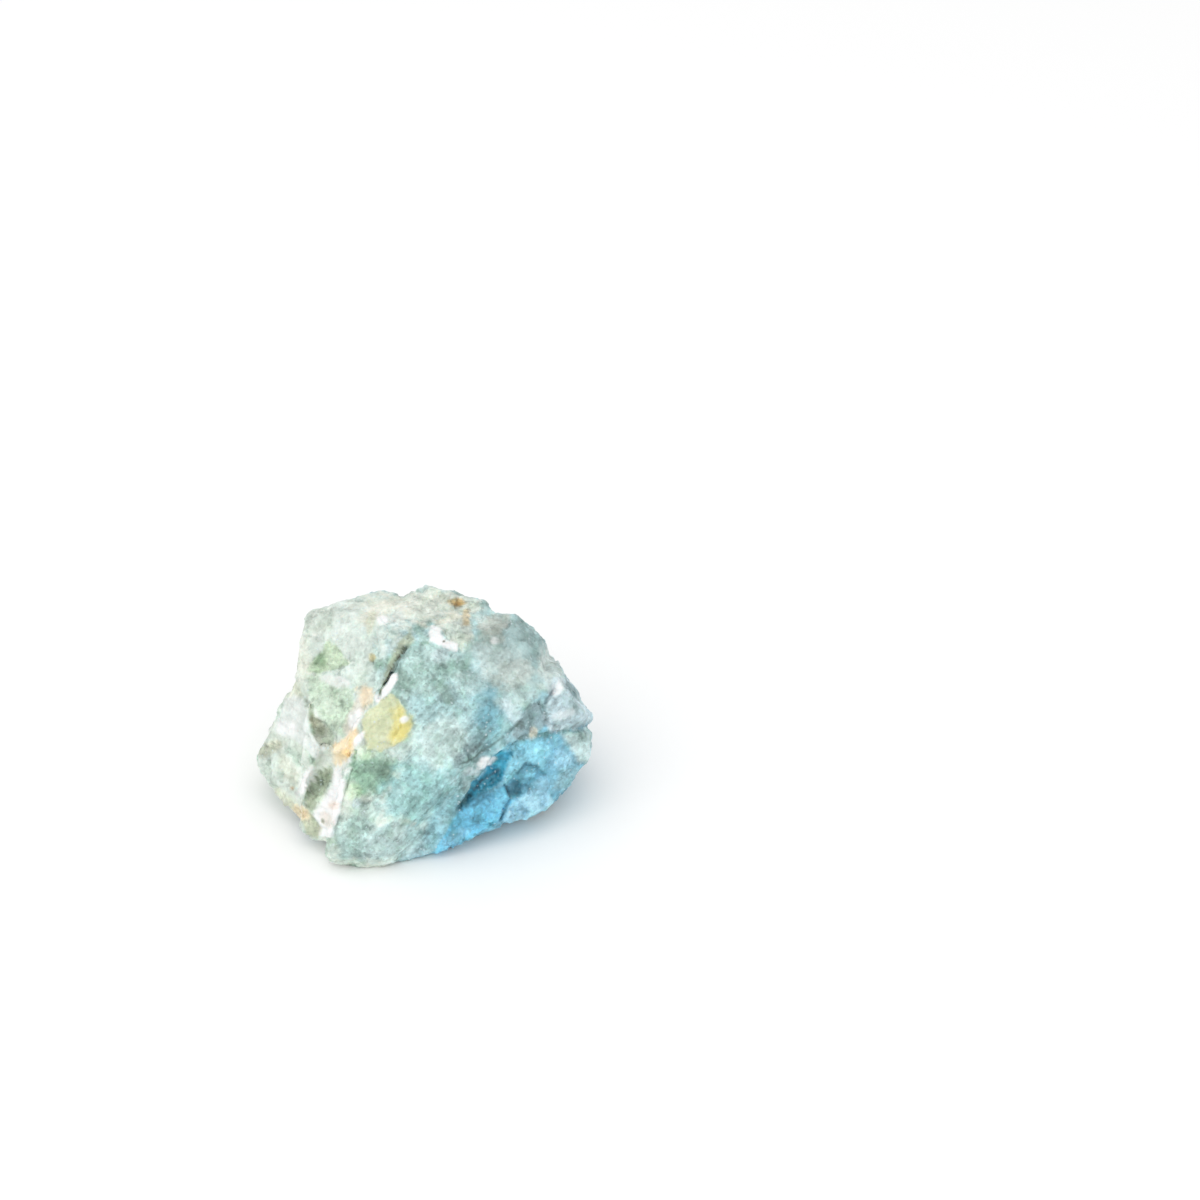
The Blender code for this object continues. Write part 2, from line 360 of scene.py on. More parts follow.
@dataclass
class StoneForm:
    """The stone's form as a field: below zero inside, above zero outside."""

    chip_count: int = 74
    chip_grid: int = 28
    chip_depth: tuple[float, float] = (0.25, 1.15)
    chip_lowest: float = -0.85
    heart_height: float = 11.5
    rest_level: float = 0.4
    crystal_middle: tuple[float, float, float] = (-3.6, 0.6, 9.8)
    crystal_top: tuple[float, float, float] = (70, 14, 1.05)
    crystal_sides: int = 6
    crystal_first_turn: float = 20
    crystal_lean: float = 52
    crystal_reach: float = 2.5
    crystal_root: float = 4.0
    hull: BreakSet = field(init=False)
    notches: list[BreakSet] = field(init=False)
    crystal: BreakSet = field(init=False)

    def __post_init__(self) -> None:
        """Gather the named breaks and knock the chips off them."""
        faces = [*self.rim_faces(), *self.front_faces(), *self.hidden_faces()]
        self.hull = BreakSet(faces)
        self.notches = [BreakSet(walls) for walls in self.notch_walls().values()]
        self.crystal = BreakSet(self.crystal_faces())
        self.hull = BreakSet([*faces, *self.chips()])

    @property
    def floor(self) -> float:
        """The height of the resting flat, from the heart."""
        return self.rest_level - self.heart_height

    def rim_faces(self) -> list[FlatBreak]:
        """List the breaks seen edge on, anticlockwise from the right: turn, lean and reach."""
        rows = (
            (-2, 90, 21.1), (32, 90, 18.6), (61, 88, 18.5), (91, 94, 18.1), (103, 94, 18.6),
            (121, 92, 20.0), (146, 92, 20.0), (158, 90, 19.0), (-161, 92, 21.5), (-146, 90, 20.9),
            (-131, 90, 19.3), (-116, 90, 20.0), (-86, 92, 17.9), (-68, 90, 14.9), (-47, 94, 17.9),
            (-28, 91, 20.7),
        )
        return [front_face(*row) for row in rows]

    def front_faces(self) -> list[FlatBreak]:
        """List the breaks that the front view looks onto: turn, lean and reach."""
        rows = (
            (268, 10, 10.9), (60, 33, 12.3), (5, 46, 17.2), (312, 47, 16.6), (90, 62, 14.7),
            (128, 42, 15.2), (185, 42, 14.6), (215, 48, 18.8), (272, 62, 18.0),
        )
        return [front_face(*row) for row in rows]

    def hidden_faces(self) -> list[FlatBreak]:
        """List the breaks of the back and the underside, the resting flat last.

        Returns:
            The breaks, each from its bearing, slope and reach.
        """
        rows = (
            (90, 5, 15.6), (58, 36, 17.4), (122, 30, 18.6), (40, -12, 19.3), (140, -8, 19.0),
            (-30, -40, 18.4), (210, -42, 20.2), (90, -45, 15.6), (186, -72, 13.5),
            (-6, -74, 13.3), (84, -68, 13.0), (0, -90, self.heart_height),
        )
        return [compass_face(*row) for row in rows]

    def notch_walls(self) -> dict[str, tuple[FlatBreak, ...]]:
        """List the notches: each is what lies outside all of its walls."""
        return {
            "vein_gap": (front_face(165, 92, 7.05), face_through(228, 26, -9, -10, 6.2)),
            "foot_step": (face_through(182, 88, -11.5, -14.6, 4), face_through(268, 86, -13, -13.7, 3)),
            "lens_hollow": (
                face_through(149, 68, -12.3, -7.8, 5),
                face_through(329, 64, -13.6, -6.4, 5.4),
                face_through(236, 66, -11.2, -4.0, 5),
                face_through(240, 24, -14, -9, 3.3),
            ),
            "crack": (front_face(148, 90, 6.6), face_through(152, 24, -3, 9, 8.8)),
            "left_drop": (face_through(176, 86, -14.0, 2, 5), face_through(194, 42, -15, 2, 3.6)),
            "lobe_valley": (front_face(172, 88, 16.3), front_face(150, 90, 16.4)),
            "blue_step": (
                face_through(326, 80, 3.4, -12.4, 8.0),
                face_through(305, 78, 8.9, -4.7, 9.0),
                face_through(305, 29, 8, -12, 5.6),
            ),
            "blue_fracture": (
                face_through(308, 80, 5.4, -7.6, 7.0),
                face_through(120, 68, 9.4, -9.4, 5.0),
                face_through(312, 30, 9, -8, 5.0),
            ),
            "low_ledge": (face_through(20, 72, 10.4, -9.5, 4.0), face_through(318, 36, 13, -10, 2.4)),
            "split_right": (face_through(78, 82, 17.6, 0.1, 3), face_through(284, 74, 17.6, 0.5, 3)),
            "split_end": (face_through(58, 87, 19.9, 0.0, 0), face_through(302, 87, 19.9, 0.3, 0)),
            "shoulder_step": (face_through(14, 84, 15.6, 7.6, 2), face_through(74, 76, 15.6, 7.6, 2)),
            "grey_facet": (
                face_through(313, 62, 12.7, 1.5, 9.4),
                face_through(190, 78, 15.6, 1.5, 8),
                face_through(300, 30, 13.5, 0.5, 8.4),
            ),
            "back_hollow": (free_face((0.35, 0.86, 0.37), 12.9), free_face((-0.72, 0.62, -0.3), 4.0)),
            "back_ledge": (free_face((0.12, 0.72, 0.68), 15.0), free_face((0.82, 0.52, -0.2), 9.0)),
        }

    def crystal_faces(self) -> list[FlatBreak]:
        """List the yellow crystal's faces: its top, the flats round it and its root."""
        right, up, toward = self.crystal_middle
        middle = RIGHT * right + UPWARD * up + TOWARD * toward
        own = [front_face(*self.crystal_top), free_face(-TOWARD, self.crystal_root)]
        for side in range(self.crystal_sides):
            turn = self.crystal_first_turn + side * 360 / self.crystal_sides
            own.append(front_face(turn, self.crystal_lean, self.crystal_reach))
        return [FlatBreak(item.outward, item.reach + float(middle @ item.outward)) for item in own]

    def chips(self) -> list[FlatBreak]:
        """Knock seeded small flats off the corners and edges.

        Returns:
            One flat for each chip: its direction is drawn, and it lies a drawn depth inside
            the farthest corner that way.
        """
        dice = random.Random(Seed.CHIPS)
        corners = BallGrid(self.chip_grid).cast(self)
        made = []
        for _ in range(self.chip_count):
            height = dice.uniform(self.chip_lowest, 1)
            around = dice.uniform(0, 2 * math.pi)
            level = math.sqrt(1 - height * height)
            outward = np.array([level * math.cos(around), level * math.sin(around), height])
            depth = dice.uniform(*self.chip_depth)
            made.append(free_face(outward, float((corners @ outward).max()) - depth))
        return made

    def surface(self, points: Array) -> tuple[Array, Array]:
        """Measure the whole form, and the direction in which the measure grows.

        Args:
            points: Points in millimetres from the heart.

        Returns:
            The distance, the hull's largest measure, raised to each notch's smallest, lowered
            to the crystal's largest and raised again to the resting flat's, and the outward
            direction of the break that it belongs to.
        """
        best = self.hull.farthest(points)
        for notch in self.notches:
            wall = notch.nearest(points)
            best = taken(wall[0] > best[0], wall, best)
        face = self.crystal.farthest(points)
        best = taken(face[0] < best[0], face, best)
        rest = (self.floor - points[:, 2], DOWN)
        return taken(rest[0] > best[0], rest, best)


class BallGrid:
    """Six square grids bent into one closed ball."""

    SAME_DIGITS = 7
    GRAZING = 0.01
    EVEN_ROUNDS = 6

    def __init__(self, cells: int) -> None:
        """Build the grid's directions and faces.

        Args:
            cells: Squares along one side of each of the six grids.
        """
        angles = np.linspace(-math.pi / 4, math.pi / 4, cells + 1)
        first, second = np.meshgrid(np.tan(angles), np.tan(angles), indexing="ij")
        one = np.ones_like(first)
        sides = [
            (one, first, second),
            (-one, second, first),
            (second, one, first),
            (first, -one, second),
            (first, second, one),
            (second, first, -one),
        ]
        points = np.concatenate([np.stack(side, axis=-1).reshape(-1, 3) for side in sides])
        points /= np.linalg.norm(points, axis=1, keepdims=True)
        kept, same = np.unique(np.round(points, self.SAME_DIGITS), axis=0, return_inverse=True)
        rows = np.arange(len(points)).reshape(6, cells + 1, cells + 1)
        corners = [rows[:, :-1, :-1], rows[:, 1:, :-1], rows[:, 1:, 1:], rows[:, :-1, 1:]]
        self.directions = kept / np.linalg.norm(kept, axis=1, keepdims=True)
        self.quads = np.reshape(same, -1)[np.stack([c.ravel() for c in corners], axis=1)]
        ends = np.concatenate([self.quads[:, [k, (k + 1) % 4]] for k in range(4)])
        self.edges = np.unique(np.sort(ends, axis=1), axis=0)
        self.degree = np.bincount(self.edges.ravel(), minlength=len(kept))

    def cast(self, form: StoneForm) -> Array:
        """Find where a ray along each direction leaves the form's hull, at its nearest break."""
        facing = form.hull.outward @ self.directions.T
        reach = form.hull.reach[:, None] / np.maximum(facing, self.GRAZING)
        reach = np.where(facing > self.GRAZING, reach, np.inf)
        return self.directions * reach.min(axis=0)[:, None]

    def neighbours(self, values: Array) -> Array:
        """Average each point's neighbours along the grid's lines."""
        first, second = self.edges.T
        total = np.empty_like(values)
        for column in range(values.shape[1]):
            ahead = np.bincount(first, values[second, column], len(values))
            behind = np.bincount(second, values[first, column], len(values))
            total[:, column] = ahead + behind
        return total / self.degree[:, None]

    def evened(self, directions: Array) -> Array:
        """Even directions out over the neighbours, so that they turn gently over edges."""
        for _ in range(self.EVEN_ROUNDS):
            directions = 0.5 * (directions + self.neighbours(directions))
        return directions / np.linalg.norm(directions, axis=1, keepdims=True)


@dataclass
class HiddenPatches:
    """Seeded patches of the sides that the photograph hides, each raised or sunk a little."""

    points: Array
    count: int = 64
    size: tuple[float, float] = (0.9, 3.6)
    height: tuple[float, float] = (-0.5, 0.35)
    longest: float = 2.2
    edge: float = 0.14
    ragged_size: float = 1.4
    ragged_share: float = 0.4
    front_limit: float = 0.05
    masks: list[Array] = field(init=False)
    heights: Array = field(init=False)

    def __post_init__(self) -> None:
        """Draw the patches and measure every point against them.

        Each is an oval in space about one point of the skin, stretched along a drawn axis,
        whose rim layered noise makes ragged.
        """
        rng = np.random.default_rng(Seed.PATCHES)
        noise = GradientNoise(Seed.PATCH_RIMS).layered(self.points, self.ragged_size, 3)
        outward = self.points / np.linalg.norm(self.points, axis=1, keepdims=True)
        self.masks = []
        self.heights = rng.uniform(*self.height, size=self.count)
        while len(self.masks) < self.count:
            way, axis = (draw / np.linalg.norm(draw) for draw in rng.normal(size=(2, 3)))
            size = rng.uniform(*self.size)
            longer = rng.uniform(1, self.longest)
            if way @ TOWARD > self.front_limit:
                continue
            away = self.points - self.points[(outward @ way).argmax()]
            along = away @ axis
            square = (away**2).sum(axis=1) - along**2 + (along / longer) ** 2
            reach = np.sqrt(np.maximum(square, 0)) / size + self.ragged_share * noise
            self.masks.append(1 - smoothstep(1 - self.edge, 1 + self.edge, reach))

    def relief(self) -> Array:
        """Add the patches' heights."""
        return np.einsum("i,ij->j", self.heights, np.array(self.masks))


@dataclass
class StoneSkin:
    """The fine closed skin: the form's surface with lumps, facets, strokes and grain."""

    form: StoneForm
    camera: PhotoCamera
    cells: int = 128
    settle_rounds: int = 28
    relax_turns: int = 3
    relax_share: float = 0.45
    edge_turns: int = 2
    lump_size: float = 5.0
    lump_height: float = 0.26
    bend_size: float = 1.6
    bend_reach: float = 0.35
    facet_size: float = 2.3
    facet_height: float = 0.34
    small_facet_size: float = 0.95
    small_facet_height: float = 0.13
    small_step: float = 0.5
    large_level_share: float = 0.6
    main_face_loss: float = 0.55
    stroke_size: float = 0.55
    stroke_height: float = 0.1
    stroke_turn: float = 47.0
    stroke_stretch: tuple[float, float, float] = (8.0, 1.0, 2.0)
    grain_size: float = 0.42
    grain_height: float = 0.03
    rim_size: float = 1.3
    front_edge: tuple[float, float] = (-0.1, 0.3)
    grid: BallGrid = field(init=False)
    points: Array = field(init=False)
    normals: Array = field(init=False)
    facet_level: Array = field(init=False)
    stroke_place: Array = field(init=False)
    patches: HiddenPatches = field(init=False)

    def __post_init__(self) -> None:
        """Settle the grid on the form and raise the relief on it."""
        self.grid = BallGrid(self.cells)
        self.points = self.settled()
        self.normals = self.grid.evened(self.form.surface(self.points)[1])
        self.patches = HiddenPatches(self.points)
        self.points = self.points + self.relief()[:, None] * self.normals
        self.points[:, 2] = np.maximum(self.points[:, 2], self.form.floor)

    @property
    def pixels(self) -> Array:
        """The pixels where the points show in the photograph."""
        return self.camera.project(self.points)

    def settled(self) -> Array:
        """Slide the grid's points onto the form, evening them out between steps.

        Returns:
            The points: each round relaxes them and then moves each straight onto the break
            that it lies outside or inside of. Last, the edges are softened a little.
        """
        points = self.grid.cast(self.form)
        for _ in range(self.settle_rounds):
            points = self.relaxed(points, self.relax_turns)
            value, outward = self.form.surface(points)
            points = points - value[:, None] * outward
        return self.relaxed(points, self.edge_turns)

    def relaxed(self, points: Array, turns: int) -> Array:
        """Move points a share of the way to their neighbours' average, as often as told."""
        for _ in range(turns):
            points = points + self.relax_share * (self.grid.neighbours(points) - points)
        return points

    def relief(self) -> Array:
        """Work out how far each point stands out.

        Returns:
            Lumps of layered noise, tilted facets, strokes that run up to the right on the
            main face, fine grain, and the marks of the front or the patches of the rest.
        """
        main = MAIN_FACE.mask(self.pixels)
        height = self.lump_height * GradientNoise(Seed.LUMPS).layered(self.points, self.lump_size, 2)
        height += (1 - self.main_face_loss * main) * self.facets()
        height += self.stroke_height * main * self.strokes()
        height += self.grain_height * GradientNoise(Seed.GRAIN).layered(self.points, self.grain_size, 2)
        front = smoothstep(*self.front_edge, self.normals @ TOWARD)
        return height + self.marks() * front + self.patches.relief() * (1 - front)

    def facets(self) -> Array:
        """Find the heights of two sizes of tilted facets, and keep their mixed level."""
        seeds = [Seed.BENDS + axis for axis in range(3)]
        bend = np.stack([GradientNoise(seed).at(self.points, self.bend_size) for seed in seeds], axis=1)
        bent = self.points + self.bend_reach * bend
        slope, level = BrokenFacets(Seed.FACETS).at(bent, self.facet_size)
        small_slope, small_level = BrokenFacets(Seed.SMALL_FACETS).at(bent, self.small_facet_size)
        self.facet_level = self.large_level_share * level + (1 - self.large_level_share) * small_level
        small = small_slope + self.small_step * small_level
        return self.facet_height * slope + self.small_facet_height * small

    def strokes(self) -> Array:
        """Find the long strokes on the main face: noise stretched eightfold up to the right."""
        along = math.radians(self.stroke_turn)
        run = RIGHT * math.cos(along) + UPWARD * math.sin(along)
        across = UPWARD * math.cos(along) - RIGHT * math.sin(along)
        place = self.points @ np.stack([run, across, TOWARD], axis=1)
        self.stroke_place = place / np.array(self.stroke_stretch)
        return GradientNoise(Seed.STROKES).layered(self.stroke_place, self.stroke_size, 2)

    def marks(self) -> Array:
        """Add the rises of the front's named marks."""
        ragged = GradientNoise(Seed.RELIEF_RIMS).layered(self.points, self.rim_size, 3)
        pixels = self.pixels
        raised = (mark for mark in MARKS.values() if mark.rise)
        return sum(mark.rise * mark.patch.mask(pixels, ragged) for mark in raised)


def polygon_distance(pixels: Array, corners: Sequence[Pixel]) -> Array:
    """Measure the signed distance of pixels from a closed outline, below zero inside.

    Args:
        pixels: The pixels, one row each.
        corners: The outline's corners in order.

    Returns:
        The distance to the nearest side, negative where a ray to the right crosses the
        outline an odd number of times.
    """
    nearest = np.full(len(pixels), np.inf)
    inside = np.zeros(len(pixels), bool)
    ends = np.array(corners, float)
    for start, end in zip(ends, np.roll(ends, -1, axis=0)):
        nearest = np.minimum(nearest, segment_distance(pixels, start, end))
        spans = (start[1] > pixels[:, 1]) != (end[1] > pixels[:, 1])
        rise = end[1] - start[1]
        crossing = start[0] + (pixels[:, 1] - start[1]) / (rise if rise else 1.0) * (end[0] - start[0])
        inside ^= spans & (pixels[:, 0] < crossing)
    return np.where(inside, -nearest, nearest)


def segment_distance(pixels: Array, start: Array, end: Array) -> Array:
    """Measure how far pixels lie from a straight stretch between two ends."""
    way = end - start
    share = np.clip((pixels - start) @ way / (way @ way), 0, 1)
    return np.linalg.norm(pixels - start - share[:, None] * way, axis=1)


@dataclass(frozen=True)
class Spot:
    """An oval patch: its middle and half sizes in pixels, and the turn of its long side."""

    at: Pixel
    size: Pixel
    turn: float = 0.0
    edge: float = 0.35
    ragged: float = 0.35

    def mask(self, pixels: Array, noise: Array | float = 0.0) -> Array:
        """Fade from 1 inside to 0 outside the oval, whose edge the noise makes uneven."""
        spin = math.radians(self.turn)
        away = pixels - np.array(self.at)
        along = away[:, 0] * math.cos(spin) - away[:, 1] * math.sin(spin)
        across = away[:, 0] * math.sin(spin) + away[:, 1] * math.cos(spin)
        reach = np.hypot(along / self.size[0], across / self.size[1]) + self.ragged * noise
        return 1 - smoothstep(1 - self.edge, 1 + self.edge, reach)


@dataclass(frozen=True)
class Area:
    """A patch with corners: its outline in pixels, and its edge's softness in pixels."""

    corners: tuple[Pixel, ...]
    soft: float = 2.5
    ragged: float = 3.0

    def mask(self, pixels: Array, noise: Array | float = 0.0) -> Array:
        """Fade from 1 inside to 0 outside the outline, which the noise makes uneven."""
        outside = polygon_distance(pixels, self.corners) + self.ragged * noise
        return 1 - smoothstep(-self.soft, self.soft, outside)


@dataclass(frozen=True)
class Line:
    """A patch along a path: the path and its half width in pixels."""

    path: tuple[Pixel, ...]
    width: float = 1.6
    ragged: float = 0.6

    def mask(self, pixels: Array, noise: Array | float = 0.0) -> Array:
        """Fade from 1 on the path to 0 beside it, as a bell over the distance."""
        ends = np.array(self.path, float)
        near = np.min([segment_distance(pixels, a, b) for a, b in zip(ends[:-1], ends[1:])], axis=0)
        return np.exp(-(((near + self.width * self.ragged * noise) / self.width) ** 2))


SHOULDER = Spot((510, 662), (48, 46), edge=0.5)
MAIN_FACE = Area(
    ((352, 752), (392, 690), (432, 640), (500, 640), (545, 700), (505, 752), (462, 806), (436, 850),
     (372, 868), (334, 848)),
    soft=14.0,
)
CRYSTAL = Area(((391, 693), (399, 701), (408, 713), (414, 725), (408, 737), (395, 744), (381, 751),
                (368, 749), (363, 735), (361, 719), (373, 706)), 1.5, 2.5)


@dataclass(frozen=True)
class Mark:
    """A named mark of the front: the colour laid on its patch, and its rise in millimetres."""

    patch: Spot | Area | Line
    colour: Colour | None = None
    strength: float = 1.0
    rise: float = 0.0


class Palette:
    """The stone's colours, and the painted shade of its cracks, hollow and pocket."""

    PALE_GREEN = srgb(212, 223, 212)
    CAP = srgb(216, 227, 219)
    CREAM = srgb(232, 228, 210)
    GREY_CREAM = srgb(206, 213, 200)
    WHITE = srgb(248, 249, 249)
    VEIN = srgb(241, 237, 230)
    PINK_WHITE = srgb(236, 226, 214)
    PINK = srgb(238, 206, 186)
    LEAF = srgb(196, 214, 188)
    DEEP_LEAF = srgb(172, 200, 162)
    SPARK_GREEN = srgb(192, 211, 190)
    LOBE = srgb(210, 222, 212)
    OLIVE = srgb(212, 214, 186)
    # Grey green of the hollow, darkened by painted shade of the recess.
    HOLLOW_SHADE = srgb(162, 174, 151)
    ORANGE = srgb(248, 224, 184)
    AMBER = srgb(250, 208, 132)
    RUST = srgb(198, 142, 64)
    TAN = srgb(210, 178, 118)
    OCHRE = srgb(188, 178, 126)
    LEMON = srgb(214, 218, 176)
    YELLOW = srgb(230, 220, 140)
    DEEP_YELLOW = srgb(226, 206, 96)
    # Painted shadow for the cap's crack, also used for one dark speck in the white lump.
    CRACK_SHADE_AND_SPECK = srgb(76, 72, 46)
    BROWN = srgb(150, 152, 122)
    MOSS = srgb(142, 178, 156)
    SEA = srgb(172, 205, 206)
    TEAL = srgb(150, 197, 198)
    MIST = srgb(194, 216, 212)
    DOME = srgb(170, 199, 193)
    LOW_GREEN = srgb(164, 192, 186)
    DEEP_MOSS = srgb(120, 148, 134)
    STREAK = srgb(116, 172, 186)
    BAND = srgb(136, 188, 200)
    GREY = srgb(176, 183, 175)
    PALE_GREY = srgb(204, 217, 213)
    CREAM_GREY = srgb(196, 206, 199)
    # Painted shade for lines over the fracture, in a crack and at a facet's foot; also the dark specks of
    # the grain.
    SHADE_AND_SPECKS = srgb(82, 106, 104)
    DEEP = srgb(176, 200, 190)
    SAGE = srgb(208, 230, 208)
    WEDGE = srgb(184, 190, 156)
    GREY_BLUE = srgb(154, 179, 178)
    FACET = srgb(146, 170, 175)
    ICE = srgb(208, 225, 229)
    BLOCK = srgb(194, 215, 221)
    MILK = srgb(226, 232, 228)
    BLUE = srgb(118, 178, 200)
    SLAB = srgb(112, 192, 224)
    PALE_SLAB = srgb(152, 203, 224)
    MIDDLE_BLUE = srgb(147, 215, 234)
    # Painted shade for the pocket's floor and rim.
    POCKET_SHADE = srgb(54, 112, 130)
    DARK_TEAL = srgb(60, 160, 190)
    DEEP_TEAL = srgb(112, 180, 206)
    DEEP_BLUE = srgb(74, 146, 178)
    # Painted shade in the cracks of the blue side.
    CRACK_SHADE_BLUE = srgb(38, 76, 92)


